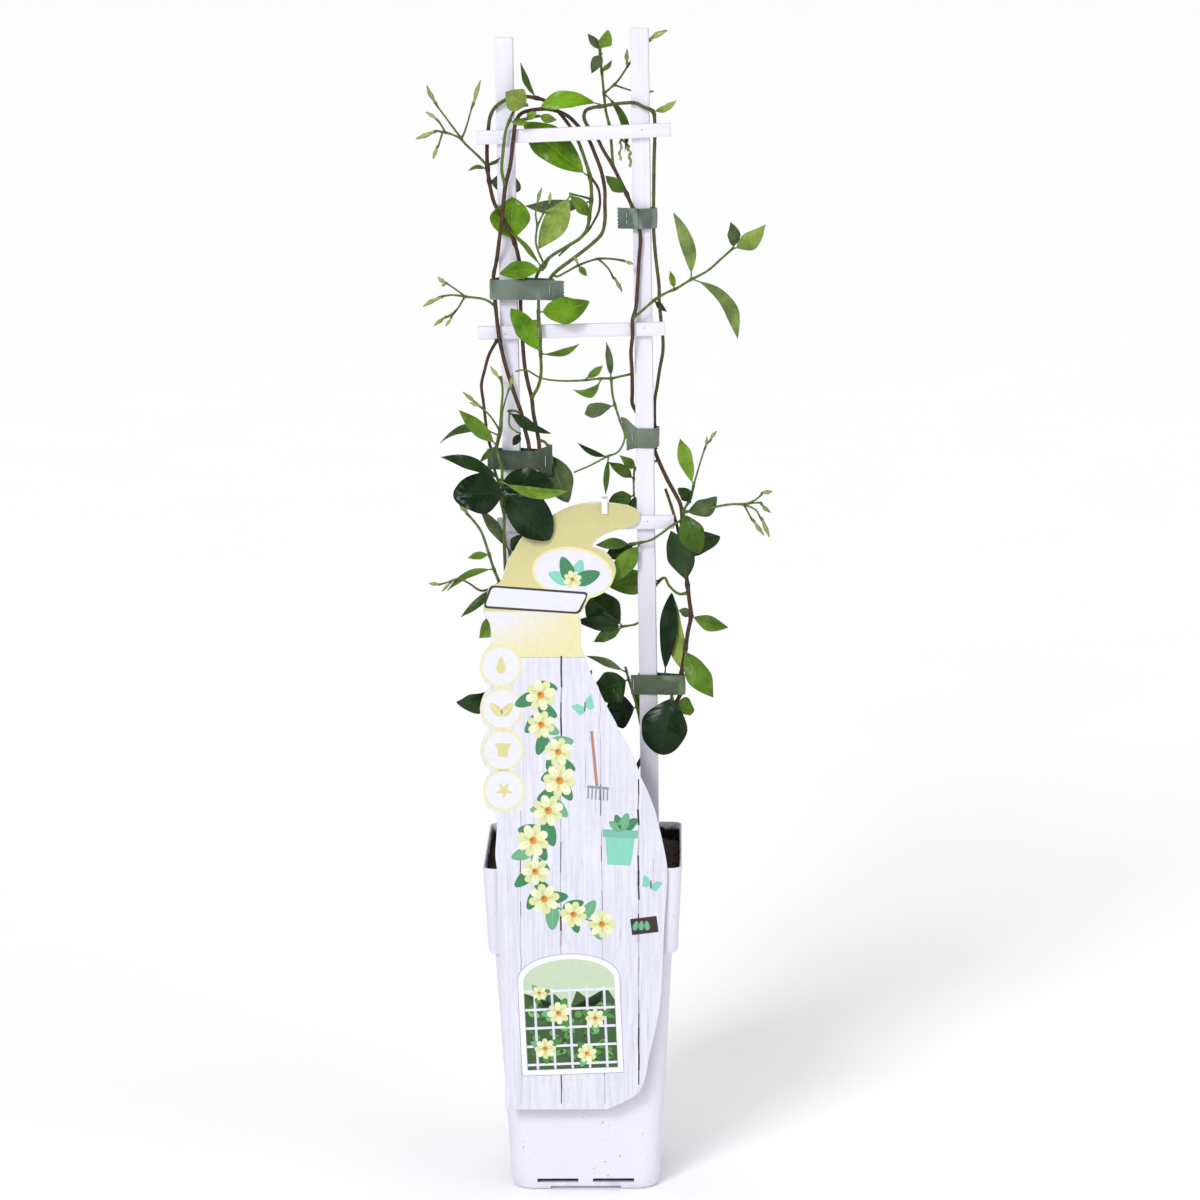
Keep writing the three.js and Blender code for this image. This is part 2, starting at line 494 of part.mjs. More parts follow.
  ]],
  "tie_leaf_shoot": ["inner_stem", "leaf", [
    stem(0.9, 0.8, [[-25, -2, 456], [-22, -3, 456], [-20, -3.5, 454], [-18.5, -4, 450]]),
    leaf([-18.5, -4, 450], [-8.5, -8, 419], 20, 22, 0, 0),
  ]],
  "side_leaf_shoot": ["left_stem", "leaf", [
    stem(0.7, 0.6, [[-35, -5, 473], [-39, -9, 475.5], [-43, -10, 475.5]]),
    stem(0.6, 0.5, [[-42, -10, 475.5], [-42, -11, 467], [-38, -11, 463], [-35.5, -10.5, 462]]),
    leaf([-43, -10, 475.5], [-18, -15, 461.5], 8, 30, 2, 0),
    leaf([-35.5, -10.5, 462], [-40, -12, 455], 5, 0, 0, 0),
  ]],
  "lower_left_shoot": ["soil", "leaf", [
    stem(1.1, 0.7, [[-24, -9, 188], [-31, -9, 240], [-40, -9, 300], [-46, -9, 350],
      [-48, -9, 366], [-53, -9, 380], [-56, -9, 390], [-60, -9, 402], [-64, -9, 408],
      [-69, -10, 414]]),
    stem(0.7, 0.5, [[-50, -9, 370], [-60, -10, 366], [-68, -11, 371], [-74, -12, 374],
      [-79, -11, 372], [-86, -11, 370]]),
    bud([-68, -10, 413], [-73, -10, 419], 2.4),
    bud([-68, -10, 413], [-69, -12, 420], 2.2),
    bud([-85, -11, 370], [-92, -12, 371], 2.8),
    bud([-78, -11, 372], [-84, -13, 366], 2.2),
    leaf([-46, -9, 352], [-62, -14, 338], 12, 10, 0, 0),
    leaf([-55, -9, 388], [-68, -12, 387], 5, 30, 0, 0),
    leaf([-52, -9, 379], [-81, -13, 367], 5, 40, 0, 4),
    leaf([-49, -9, 369], [-73, -13, 351], 6, 30, 0, 0),
  ]],
  "collar_leaf_shoot": ["front_shoot", "leaf", [
    stem(0.9, 0.8, [[-45, -14, 378], [-43, -10, 384], [-43, -9, 390]]),
    leaf([-43, -9, 390], [-60, -12, 416], 7, 20, 1, 0),
    leaf([-43, -9, 390], [-33, -9, 399], 11, 0, 2, 0),
  ]],
};

// ---- pot and soil ----
// A square with round corners, level at one height, as a ring of points from the front left.
function roundedSquare(width, radius, height) {
  const steps = 3;
  const ring = [];
  for (let corner = 0; corner < 4; corner += 1) {
    const facing = THREE.MathUtils.degToRad(180 + 90 * corner);
    const [sx, sy] = [[-1, -1], [1, -1], [1, 1], [-1, 1]][corner];
    for (let i = 0; i <= steps; i += 1) {
      const angle = facing + (Math.PI / 2) * (i / steps);
      const reach = width / 2 - radius;
      const x = sx * reach + radius * Math.cos(angle);
      const y = sy * reach + radius * Math.sin(angle);
      ring.push(new THREE.Vector3(x, y, height));
    }
  }
  return ring;
}

function lofted(levels) {
  return solidOf(skin(levels.map(([width, radius, height]) => roundedSquare(width, radius, height))));
}

const STEP_HEIGHT = COLLAR_FOOT_HEIGHT - 2;
const BODY_FOOT = 8;

function potSolid() {
  const outside = lofted([
    [BASE_WIDTH - 7, 12, 0],
    [BASE_WIDTH - 1.6, 13, 3],
    [BASE_WIDTH, 13, BODY_FOOT],
    [BODY_TOP_WIDTH, 10, STEP_HEIGHT],
    [COLLAR_FOOT_WIDTH - 3, 9, COLLAR_FOOT_HEIGHT - 1],
    [COLLAR_FOOT_WIDTH, 9, COLLAR_FOOT_HEIGHT + 2],
    [RIM_WIDTH, 7, POT_HEIGHT],
  ]);
  const inside = lofted(insideLevels(0, POT_FLOOR, POT_HEIGHT + 1));
  let pot = outside.subtract(inside);
  const channel = BASE_WIDTH / 2 - FOOT_SIZE;
  const underside = [
    box([-BASE_WIDTH, -channel, -1], [BASE_WIDTH, channel, FOOT_HEIGHT]),
    box([-channel, -BASE_WIDTH, -1], [channel, BASE_WIDTH, FOOT_HEIGHT]),
  ];
  const padHeight = FOOT_HEIGHT + 0.5;
  const pad = new THREE.CylinderGeometry(CENTRE_PAD_RADIUS, CENTRE_PAD_RADIUS, padHeight, 16);
  pad.rotateX(Math.PI / 2);
  pad.translate(0, 0, padHeight / 2);
  pot = pot.subtract(joined(underside.map(solidOf))).add(solidOf(pad));
  return pot.subtract(joined(drainSlots().map(solidOf)));
}

// Two slots low in each of the four walls.
function drainSlots() {
  const slots = [];
  const wall = BASE_WIDTH / 2 - 5;
  const low = DRAIN_SLOT.bottom;
  const high = low + DRAIN_SLOT.height;
  for (const middle of [-DRAIN_SLOT.middle, DRAIN_SLOT.middle]) {
    const left = middle - DRAIN_SLOT.length / 2;
    const right = middle + DRAIN_SLOT.length / 2;
    slots.push(box([left, -BASE_WIDTH, low], [right, -wall, high]));
    slots.push(box([left, wall, low], [right, BASE_WIDTH, high]));
    slots.push(box([-BASE_WIDTH, left, low], [-wall, right, high]));
    slots.push(box([wall, left, low], [BASE_WIDTH, right, high]));
  }
  return slots;
}

// The hollow, as levels of width, corner radius and height, let in by a clearance.
function insideLevels(clearance, floor, top) {
  const less = 2 * (POT_WALL + clearance);
  const taper = (RIM_WIDTH - COLLAR_FOOT_WIDTH) / (POT_HEIGHT - COLLAR_FOOT_HEIGHT - 2);
  return [
    [BASE_WIDTH - 5 - less, 10, floor + clearance],
    [BASE_WIDTH - less, 11, BODY_FOOT + 2],
    [BODY_TOP_WIDTH - less, 9, STEP_HEIGHT + POT_WALL + clearance],
    [COLLAR_FOOT_WIDTH - less, 8, COLLAR_FOOT_HEIGHT + 2 + POT_WALL + clearance],
    [RIM_WIDTH - less + taper * (top - POT_HEIGHT), 6, top],
  ];
}

function soilSolid(holes) {
  const levels = insideLevels(GAP, POT_FLOOR, SOIL_LEVEL);
  const [topWidth, topRadius] = levels[levels.length - 1];
  levels.push([topWidth * 0.8, topRadius, SOIL_LEVEL + 1.6]);
  levels.push([topWidth * 0.4, topRadius, SOIL_LEVEL + 2.6]);
  return lofted(levels).subtract(joined(holes));
}

// ---- ladder ----
const ladderTurn = new THREE.Matrix4().makeRotationFromEuler(
  new THREE.Euler(
    0,
    THREE.MathUtils.degToRad(LADDER_LEAN),
    THREE.MathUtils.degToRad(LADDER_YAW),
    "ZYX",
  ),
);
const postMiddle = (side) => POST.middle + (side * POST.spacing) / 2;
// The ladder leans about its middle rung, so that its posts stay put at that height.
const LEAN_HEIGHT = RUNGS[1][3];

function inLadder(geometry) {
  geometry.translate(0, 0, -LEAN_HEIGHT);
  geometry.applyMatrix4(ladderTurn);
  geometry.translate(0, 0, LEAN_HEIGHT);
  return geometry;
}

function postGeometry(side, top, clearance = 0) {
  const half = [POST.width / 2 + clearance, POST.thickness / 2 + clearance];
  const middle = postMiddle(side);
  const low = [middle - half[0], -half[1], POST.bottom - clearance];
  const high = [middle + half[0], half[1], top];
  return inLadder(box(low, high));
}

function rungGeometry([, left, right, height, tilt]) {
  const front = -POST.thickness / 2 - GAP;
  const half = RUNG.height / 2;
  const rung = box([left, front - RUNG.thickness, -half], [right, front, half]);
  rung.rotateY(THREE.MathUtils.degToRad(-tilt));
  rung.translate(0, 0, height);
  return inLadder(rung);
}

// ---- label card: rows of height, left edge and right edge, from the top lobe to the foot ----
const CARD_ROWS = [
  [420, 6, 13], [418, -4, 28], [415, -12, 34], [411, -19, 36], [407, -25, 34], [405, -28, 30],
  [403, -31, 21], [400, -35, 13], [394, -39, 7], [392, -40, 13], [386, -44, 19], [380, -46, 21],
  [373, -49, 19], [371, -55, 18], [363, -57, 5], [358, -59, 2], [354, -58, -1], [349, -55, 0],
  [336, -55, 0], [333, -58, 1], [324, -61, 4], [315, -58, 8], [312, -55, 10], [309, -58, 11],
  [299, -61, 16], [290, -58, 21], [287, -55, 22], [284, -58, 24], [275, -61, 29], [266, -58, 33],
  [263, -55, 34], [260, -57, 35], [252, -59, 39], [242, -57, 43], [239, -52, 44], [213, -52, 50],
  [205, -51, 51], [171, -51, 49], [121, -49, 46], [92, -48, 40], [67, -48, 33], [56, -48, 14],
];
// height and depth of the card's middle: it leans on the pot's rim and back to the bottom rung
const CARD_LEAN = [[56, -61], [150, -62.4], [205, -61.4], [407, -11.9], [420, -9.4]];

function between(table, height) {
  const upper = table.findIndex(([level]) => level >= height);
  if (upper <= 0) {
    return table[Math.max(upper, 0)][1];
  }
  const [low, lowValue] = table[upper - 1];
  const [high, highValue] = table[upper];
  return lowValue + ((highValue - lowValue) * (height - low)) / (high - low);
}

function cardSolid() {
  const rings = [...CARD_ROWS].reverse().map(([height, left, right]) => {
    const middle = between(CARD_LEAN, height);
    const front = middle - CARD_THICKNESS / 2;
    const back = middle + CARD_THICKNESS / 2;
    return [
      new THREE.Vector3(left, front, height),
      new THREE.Vector3(right, front, height),
      new THREE.Vector3(right, back, height),
      new THREE.Vector3(left, back, height),
    ];
  });
  const slotDepth = between(CARD_LEAN, PEG.slot);
  const half = PEG.width / 2 + GAP;
  const slot = box(
    [PEG.x - half, slotDepth - 2, PEG.slot - PEG.thickness / 2 - GAP],
    [PEG.x + half, slotDepth + 2, PEG.slot + PEG.thickness / 2 + GAP],
  );
  return solidOf(skin(rings)).subtract(solidOf(slot));
}

// Takes an outline drawn in x and y, and its depth, to y, z and x.
const SIDE_VIEW = new THREE.Matrix4().set(0, 0, 1, 0, 1, 0, 0, 0, 0, 1, 0, 0, 0, 0, 0, 1);

// A hook of flat plastic: over the bottom rung, down in front of the card and back into its slot.
function pegGeometry() {
  const { thickness, top, depth, nose } = PEG;
  const front = between(CARD_LEAN, PEG.slot) - CARD_THICKNESS / 2 - GAP - thickness;
  const back = front + depth;
  const foot = PEG.slot - thickness / 2;
  const heel = foot - 9;
  const outline = [
    [front, foot], [front + thickness + nose, foot], [front + thickness + nose, foot + thickness],
    [front + thickness, foot + thickness], [front + thickness, top - thickness - 1],
    [front + thickness + 1, top - thickness], [back - thickness, top - thickness],
    [back - thickness, heel], [back, heel], [back, top - 1], [back - 1, top],
    [front + 1.5, top], [front, top - 1.5],
  ];
  const side = new THREE.Shape(outline.map(([y, z]) => new THREE.Vector2(y, z)));
  const hook = new THREE.ExtrudeGeometry(side, { depth: PEG.width, bevelEnabled: false });
  hook.applyMatrix4(SIDE_VIEW);
  hook.translate(PEG.x - PEG.width / 2, 0, 0);
  return hook;
}

// ---- ties: tape pulled round a post and the stems beside it, its two ends stapled together ----
// holds: the stems in the band. root and end: where the tail leaves the band and where it ends.
// lift: how far the tail's end sits above the band. flare: how much taller it is than the tape.
// staple: place along the tail. crown: the side that the staple's back lies on, 1 for the front.
const TIES = [
  {
    name: "tie_1", side: 1, height: 590.5, holds: ["right_stem"],
    root: [36, -9], end: [24, -10], lift: 0.5, flare: 1.05, staple: 0.6, crown: -1,
  },
  {
    name: "tie_2", side: -1, height: 548, holds: ["left_stem", "inner_stem", "fork_shoot"],
    root: [-22, -7.5], end: [-9, -8.5], lift: -0.5, flare: 1, staple: 0.38, crown: 1,
  },
  {
    name: "tie_3", side: 1, height: 458, holds: ["right_stem"],
    root: [34, -6], end: [27, -4.5], lift: 2.5, flare: 1.7, staple: 0.35, crown: 1,
  },
  {
    name: "tie_4", side: -1, height: 444.5, holds: ["left_stem", "inner_stem"],
    root: [-27, -3], end: [-16, -9], lift: 1, flare: 1.6, staple: 0.62, crown: 1,
  },
  {
    name: "tie_5", side: 1, height: 307, holds: ["right_stem"],
    root: [36, -7], end: [29.7, -6.5], lift: 0, flare: 1, staple: 0.78, crown: 1,
  },
];
const HELD_RADIUS = 1.5;
const HELD_REACH = 32;

// Places of every held stem where it passes through the band.
function heldStems(tie) {
  const reach = TAPE_WIDTH / 2 + 1;
  const circles = [];
  for (const name of tie.holds) {
    for (const part of PLANT[name][2].filter(({ points }) => points)) {
      const route = routeOf(part.points);
      for (const spot of route.getSpacedPoints(Math.ceil(route.getLength() / 2))) {
        const beside = Math.abs(spot.x - (tie.side * POST.spacing) / 2) < HELD_REACH;
        if (beside && Math.abs(spot.z - tie.height) < reach) {
          circles.push([spot.x, spot.y, HELD_RADIUS]);
        }
      }
    }
  }
  return circles;
}

// The post's four edges at the band's lower and upper side.
function heldPost(tie) {
  const reach = TAPE_WIDTH / 2 + 1;
  const circles = [];
  for (const x of [-POST.width / 2, POST.width / 2]) {
    for (const y of [-POST.thickness / 2, POST.thickness / 2]) {
      for (const level of [tie.height - reach, tie.height + reach]) {
        const edge = new THREE.Vector3(postMiddle(tie.side) + x, y, level - LEAN_HEIGHT);
        edge.applyMatrix4(ladderTurn);
        circles.push([edge.x, edge.y, 0.1]);
      }
    }
  }
  return circles;
}

// An upright prism round circles of x, y and radius, let out by an offset.
function wrap(circles, offset, low, high) {
  const sides = 6;
  const corners = [];
  for (const [x, y, radius] of circles) {
    for (let k = 0; k < sides; k += 1) {
      const angle = (2 * Math.PI * k) / sides;
      const reach = radius + offset;
      const across = x + reach * Math.cos(angle);
      const depth = y + reach * Math.sin(angle);
      corners.push(new THREE.Vector3(across, depth, low), new THREE.Vector3(across, depth, high));
    }
  }
  return solidOf(new ConvexGeometry(corners));
}

// The two ends of the tape, one on the other, as a flat tail beside the band.
function tailSolid({ root, end, lift, flare, height }) {
  const ringAt = ([x, y], middle, half) => [
    new THREE.Vector3(x, y - TAPE_THICKNESS, middle - half),
    new THREE.Vector3(x, y + TAPE_THICKNESS, middle - half),
    new THREE.Vector3(x, y + TAPE_THICKNESS, middle + half),
    new THREE.Vector3(x, y - TAPE_THICKNESS, middle + half),
  ];
  const half = TAPE_WIDTH / 2;
  const rings = [ringAt(root, height, half - 0.5), ringAt(end, height + lift, half * flare)];
  return solidOf(skin(root[0] < end[0] ? rings : rings.reverse()));
}

// Turns and moves a piece drawn round the origin to the staple's place on the tail.
function ontoTail(geometry, { root, end, staple, crown, height }) {
  const run = [end[0] - root[0], end[1] - root[1]];
  geometry.rotateZ(Math.atan(run[1] / run[0]) + (crown < 0 ? Math.PI : 0));
  geometry.translate(root[0] + staple * run[0], root[1] + staple * run[1], height);
  return geometry;
}

// Wire through both layers of the tail: a back on one face, two legs and their folded ends.
function stapleGeometry(tie) {
  const face = TAPE_THICKNESS + GAP;
  const outer = face + STAPLE.wire;
  const top = STAPLE.width / 2;
  const leg = top - STAPLE.wire;
  const fold = leg - STAPLE.fold;
  const outline = [
    [-outer, -top], [outer, -top], [outer, -fold], [face, -fold], [face, -leg], [-face, -leg],
    [-face, leg], [face, leg], [face, fold], [outer, fold], [outer, top], [-outer, top],
  ];
  const side = new THREE.Shape(outline.map(([y, z]) => new THREE.Vector2(y, z)));
  const wire = new THREE.ExtrudeGeometry(side, { depth: STAPLE.wire, bevelEnabled: false });
  wire.applyMatrix4(SIDE_VIEW);
  wire.translate(-STAPLE.wire / 2, 0, 0);
  return ontoTail(wire, tie);
}

function stapleHoles(tie) {
  const half = STAPLE.wire / 2 + GAP;
  const through = 2 * TAPE_THICKNESS;
  const leg = (STAPLE.width - STAPLE.wire) / 2;
  const holes = [-leg, leg].map((level) =>
    box([-half, -through, level - half], [half, through, level + half]),
  );
  return joined(holes.map((hole) => solidOf(ontoTail(hole, tie))));
}

function tieSolid(tie) {
  const circles = [...heldStems(tie), ...heldPost(tie)];
  const low = tie.height - TAPE_WIDTH / 2;
  const high = tie.height + TAPE_WIDTH / 2;
  const inner = wrap(circles, GAP, low - 1, high + 1);
  const outer = wrap(circles, GAP + TAPE_THICKNESS, low, high);
  return outer.add(tailSolid(tie)).subtract(inner).subtract(stapleHoles(tie));
}

// ---- the whole object ----
const FINISHES = {
  bark: { color: 0x54402f, roughness: 0.85, metalness: 0 },
  leaf: { color: 0x35601c, roughness: 0.4, metalness: 0 },
  bud: { color: 0x8fa45a, roughness: 0.55, metalness: 0 },
  pot: { color: 0xe9e7ee, roughness: 0.45, metalness: 0 },
  soil: { color: 0x2a1d17, roughness: 0.95, metalness: 0 },
  ladder: { color: 0xece8f4, roughness: 0.6, metalness: 0 },
  card: { color: 0xe8e4f4, roughness: 0.35, metalness: 0 },
  tape: { color: 0x627268, roughness: 0.55, metalness: 0 },
  staple: { color: 0xb8bcc2, roughness: 0.3, metalness: 1 },
};

const plant = new THREE.Group();

function place(name, geometry, finish) {
  const mesh = new THREE.Mesh(geometry, new THREE.MeshStandardMaterial(FINISHES[finish]));
  mesh.name = name;
  plant.add(mesh);
}

place("pot", geometryOf(potSolid()), "pot");

const sleeves = {};
const rooted = [];
for (const [name, [parent, finish, parts]] of Object.entries(PLANT)) {
  let solid = joined(parts.map((part) => part.solid));
  const sleeve = joined(parts.filter((part) => part.sleeve).map((part) => part.sleeve));
  if (parent === "soil") {
    rooted.push(sleeve);
  } else {
    solid = solid.subtract(sleeves[parent]);
  }
  sleeves[name] = sleeve;
  place(name, geometryOf(solid), finish);
}

const legHoles = [-1, 1].map((side) => solidOf(postGeometry(side, LEFT_POST_TOP, GAP)));
place("soil", geometryOf(soilSolid([...legHoles, ...rooted])), "soil");
place("left_post", postGeometry(-1, LEFT_POST_TOP), "ladder");
place("right_post", postGeometry(1, RIGHT_POST_TOP), "ladder");
for (const rung of RUNGS) {
  place(rung[0], rungGeometry(rung), "ladder");
}
place("label_card", geometryOf(cardSolid()), "card");
place("label_peg", pegGeometry(), "ladder");
for (const tie of TIES) {
  place(tie.name, geometryOf(tieSolid(tie)), "tape");
  place(tie.name.replace("tie", "staple"), stapleGeometry(tie), "staple");
}

export default plant;
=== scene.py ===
"""Gives a star jasmine, its ladder, its pot and its label their fine shapes and finishes.

Metres, +Z up, the front towards -Y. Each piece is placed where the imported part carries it.
"""

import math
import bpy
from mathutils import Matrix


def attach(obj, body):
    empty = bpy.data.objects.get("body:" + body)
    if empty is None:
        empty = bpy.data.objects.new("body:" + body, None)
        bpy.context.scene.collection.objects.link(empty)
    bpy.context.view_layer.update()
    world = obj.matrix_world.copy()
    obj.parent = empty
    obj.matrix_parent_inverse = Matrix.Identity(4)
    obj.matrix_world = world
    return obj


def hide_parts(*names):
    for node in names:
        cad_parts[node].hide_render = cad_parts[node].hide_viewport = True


bl_info = {
    "name": "Trained Jasmine",
    "version": (1, 0, 0),
    "blender": (4, 5, 0),
    "location": "3D View > Sidebar > Jasmine",
    "description": "Builds a star jasmine on its ladder, in its pot, round the packed part",
    "category": "Object",
}

from collections import namedtuple

import bpy
import numpy as np
from mathutils import Matrix, Vector, noise

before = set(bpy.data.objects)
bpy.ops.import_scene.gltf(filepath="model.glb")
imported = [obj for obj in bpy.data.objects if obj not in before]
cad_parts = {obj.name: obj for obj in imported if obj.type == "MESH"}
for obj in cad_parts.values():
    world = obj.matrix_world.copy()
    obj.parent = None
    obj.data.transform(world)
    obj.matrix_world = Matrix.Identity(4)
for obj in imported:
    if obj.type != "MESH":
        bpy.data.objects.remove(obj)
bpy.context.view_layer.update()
BODY = "root"
MM = 0.001
SEED = 7


# ---- shader nodes ----
# the Mix node's two colours and its result, whose names its numbers and vectors share
MIX_FIRST, MIX_SECOND, MIX_RESULT = 6, 7, 2


class Shader:
    """A material's node tree, and the one way nodes are added to it."""

    def __init__(self, name):
        self.material = bpy.data.materials.new(name)
        self.material.use_nodes = True
        self.tree = self.material.node_tree
        self.surface = self.tree.nodes["Principled BSDF"]

    def node(self, kind, settings=None, inputs=None, output=0):
        """Adds a node, sets it, feeds its sockets and gives the wrapped output."""
        made = self.tree.nodes.new("ShaderNode" + kind)
        for key, value in (settings or {}).items():
            setattr(made, key, value)
        for key, value in (inputs or {}).items():
            self.feed(made.inputs[key], value)
        return Signal(self, made.outputs[output])

    def feed(self, socket, value):
        """Links a signal, or sets a value; a colour of three numbers is made opaque."""
        if isinstance(value, Signal):
            self.tree.links.new(value.socket, socket)
        elif socket.type == "RGBA" and len(value) == 3:
            socket.default_value = (*value, 1.0)
        else:
            socket.default_value = value

    def set(self, **sockets):
        """Feeds sockets of the surface, named with underscores for spaces."""
        for key, value in sockets.items():
            self.feed(self.surface.inputs[key.replace("_", " ")], value)
        return self.material

    def place(self):
        return self.node("TexCoord", output="Object")

    def attribute(self, name, output="Vector"):
        return self.node("Attribute", {"attribute_name": name}, output=output)

    def noise(self, coords, scale, detail=2.0, roughness=0.5):
        sockets = {"Vector": coords, "Scale": scale, "Detail": detail, "Roughness": roughness}
        return self.node("TexNoise", inputs=sockets)

    def stretched_noise(self, coords, scales, detail, roughness=0.5):
        """Noise with a scale of its own along each axis."""
        stretched = self.node("VectorMath", {"operation": "MULTIPLY"}, {0: coords, 1: scales})
        return self.noise(stretched, 1, detail, roughness)

    def axes(self, coords):
        return [self.node("SeparateXYZ", inputs={0: coords}, output=axis) for axis in "XYZ"]

    def mix(self, share, first, second, blend="MIX"):
        sockets = {0: share, MIX_FIRST: first, MIX_SECOND: second}
        return self.node("Mix", {"data_type": "RGBA", "blend_type": blend}, sockets, MIX_RESULT)

    def tinted(self, colour, other):
        """The colour multiplied by the other."""
        return self.mix(1.0, colour, other, "MULTIPLY")

    def ramp(self, value, low, high):
        """0 below low, 1 above high, smooth between."""
        sockets = {"Value": value, "From Min": low, "From Max": high}
        return self.node("MapRange", {"interpolation_type": "SMOOTHSTEP"}, sockets)

    def bump(self, height, depth, strength=1.0):
        sockets = {"Height": height, "Distance": depth, "Strength": strength}
        return self.node("Bump", inputs=sockets)


class Signal:
    """An output socket that takes arithmetic: each operator adds its Math node."""

    def __init__(self, shader, socket):
        self.shader = shader
        self.socket = socket

    def math(self, operation, first, second=0.0):
        return self.shader.node("Math", {"operation": operation}, {0: first, 1: second})

    def __add__(self, other):
        return self.math("ADD", self, other)

    def __radd__(self, other):
        return self.math("ADD", other, self)

    def __sub__(self, other):
        return self.math("SUBTRACT", self, other)

    def __rsub__(self, other):
        return self.math("SUBTRACT", other, self)

    def __mul__(self, other):
        return self.math("MULTIPLY", self, other)

    def __rmul__(self, other):
        return self.math("MULTIPLY", other, self)

    def __abs__(self):
        return self.math("ABSOLUTE", self)

    def fraction(self):
        return self.math("FRACT", self)


# ---- meshes ----
class Form:
    """Gathers one piece's faces, with the tint and the place on its part at each vertex."""

    def __init__(self):
        self.corners, self.tints, self.places = [], [], []
        self.faces, self.finishes = [], []

    def count(self):
        return sum(len(block) for block in self.corners)

    def add(self, corners, faces, tint=(1, 1, 1, 1), place=(0, 0, 0), finish=0):
        start = self.count()
        corners = np.asarray(corners, float)
        self.corners.append(corners)
        self.tints.append(np.broadcast_to(np.asarray(tint, float), (len(corners), 4)))
        self.places.append(np.broadcast_to(np.asarray(place, float), (len(corners), 3)))
        self.faces.extend([start + index for index in face] for face in faces)
        self.finishes.extend([finish] * len(faces))

    def join(self, face, finish=0):
        """One more face over corners that are there already."""
        self.faces.append(face)
        self.finishes.append(finish)

    def build(self, name, materials, nodes, slot, smooth=40):
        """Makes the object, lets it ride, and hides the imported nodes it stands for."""
        mesh = bpy.data.meshes.new(name)
        mesh.from_pydata(np.vstack(self.corners).tolist(), [], self.faces)
        tint = mesh.attributes.new("tint", "FLOAT_COLOR", "POINT")
        tint.data.foreach_set("color", np.vstack(self.tints).astype(np.float32).ravel())
        place = mesh.attributes.new("place", "FLOAT_VECTOR", "POINT")
        place.data.foreach_set("vector", np.vstack(self.places).astype(np.float32).ravel())
        for material in materials:
            mesh.materials.append(material)
        mesh.polygons.foreach_set("material_index", self.finishes)
        mesh.validate()
        piece = bpy.data.objects.new(name, mesh)
        smooth_over(piece, smooth)
        return finished(piece, nodes, slot)


def finished(piece, nodes, slot):
    """Puts the piece in the scene, lets it ride on the body, and hides the imported nodes it stands for; slot
    is not used.
    """
    if piece.name not in bpy.context.scene.collection.objects:
        bpy.context.scene.collection.objects.link(piece)
    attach(piece, BODY)
    if nodes:
        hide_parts(*nodes)
    return piece


def grid(rows, columns, closed=False, flip=False):
    """Quads over rows of points; closed joins each row's last point to its first."""
    quads = []
    for row in range(rows - 1):
        for column in range(columns if closed else columns - 1):
            after = (column + 1) % columns
            low, high = row * columns, (row + 1) * columns
            quad = (low + column, low + after, high + after, high + column)
            quads.append(quad[::-1] if flip else quad)
    return quads


def edge_of(rows, columns):
    """The points round the edge of a grid of points, in order."""
    last = rows * columns - 1
    return [
        *range(columns),
        *(row * columns + columns - 1 for row in range(1, rows)),
        *(last - column for column in range(1, columns)),
        *(row * columns for row in range(rows - 2, 0, -1)),
    ]


def neighbours(ring):
    """Each item of a closed ring with the next one."""
    return zip(ring, ring[1:] + ring[:1])


def around(sides):
    """Even angles all the way round."""
    return np.linspace(0, 2 * math.pi, sides, endpoint=False)


def closed_sheet(form, front, back, rows, columns, finishes=(0, 0, 0), **looks):
    """A thin sheet over rows of points; finishes are those of its front, its back and its rim."""
    form.add(front, grid(rows, columns), finish=finishes[0], **looks)
    form.add(back, grid(rows, columns, flip=True), finish=finishes[1], **looks)
    behind = form.count() - rows * columns
    before = behind - rows * columns
    for a, b in neighbours(edge_of(rows, columns)):
        form.join([before + b, before + a, behind + a, behind + b], finishes[2])


def lofted(form, rings, **looks):
    """A skin over rings of points, the ends closed by one face each."""
    rows, columns = len(rings), len(rings[0])
    faces = grid(rows, columns, closed=True)
    faces.append(tuple(range(columns))[::-1])
    faces.append(tuple(range((rows - 1) * columns, rows * columns)))
    form.add(np.vstack(rings), faces, **looks)


def unit(vector):
    return vector / np.linalg.norm(vector)


def route(points, step):
    """Places along a centripetal curve through the points, each point among them.

    Gives the places, and for each its place in the list of points, such as 2.5.
    """
    points = [np.asarray(point, float) for point in points]
    ends = [2 * points[0] - points[1], *points, 2 * points[-1] - points[-2]]
    places, marks = [points[0]], [0.0]
    for span in range(len(points) - 1):
        a, b, c, d = ends[span:span + 4]
        before, inside, after = (math.sqrt(np.linalg.norm(q - p)) for p, q in ((a, b), (b, c), (c, d)))
        leave = (b - a) / before - (c - a) / (before + inside) + (c - b) / inside
        arrive = (c - b) / inside - (d - b) / (inside + after) + (d - c) / after
        leave, arrive = leave * inside, arrive * inside
        cuts = max(1, round(np.linalg.norm(c - b) / step))
        for cut in range(1, cuts + 1):
            t = cut / cuts
            bend = -3 * b + 3 * c - 2 * leave - arrive
            places.append(b + leave * t + bend * t**2 + (2 * b - 2 * c + leave + arrive) * t**3)
            marks.append(span + t)
    return np.array(places), np.array(marks)


def directions(places):
    ahead = np.gradient(places, axis=0)
    return ahead / np.linalg.norm(ahead, axis=1)[:, None]


def tube(form, places, radii, sides, **looks):
    """A round bar through the places, whose sides don't twist."""
    across = np.array([0.31, 0.52, 0.79])
    turns = around(sides)
    rings = []
    for centre, along, radius in zip(places, directions(places), radii):
        across = unit(across - along * across.dot(along))
        up = np.cross(along, across)
        ring = np.outer(np.cos(turns), across) + np.outer(np.sin(turns), up)
        rings.append(centre + radius * ring)
    lofted(form, rings, **looks)


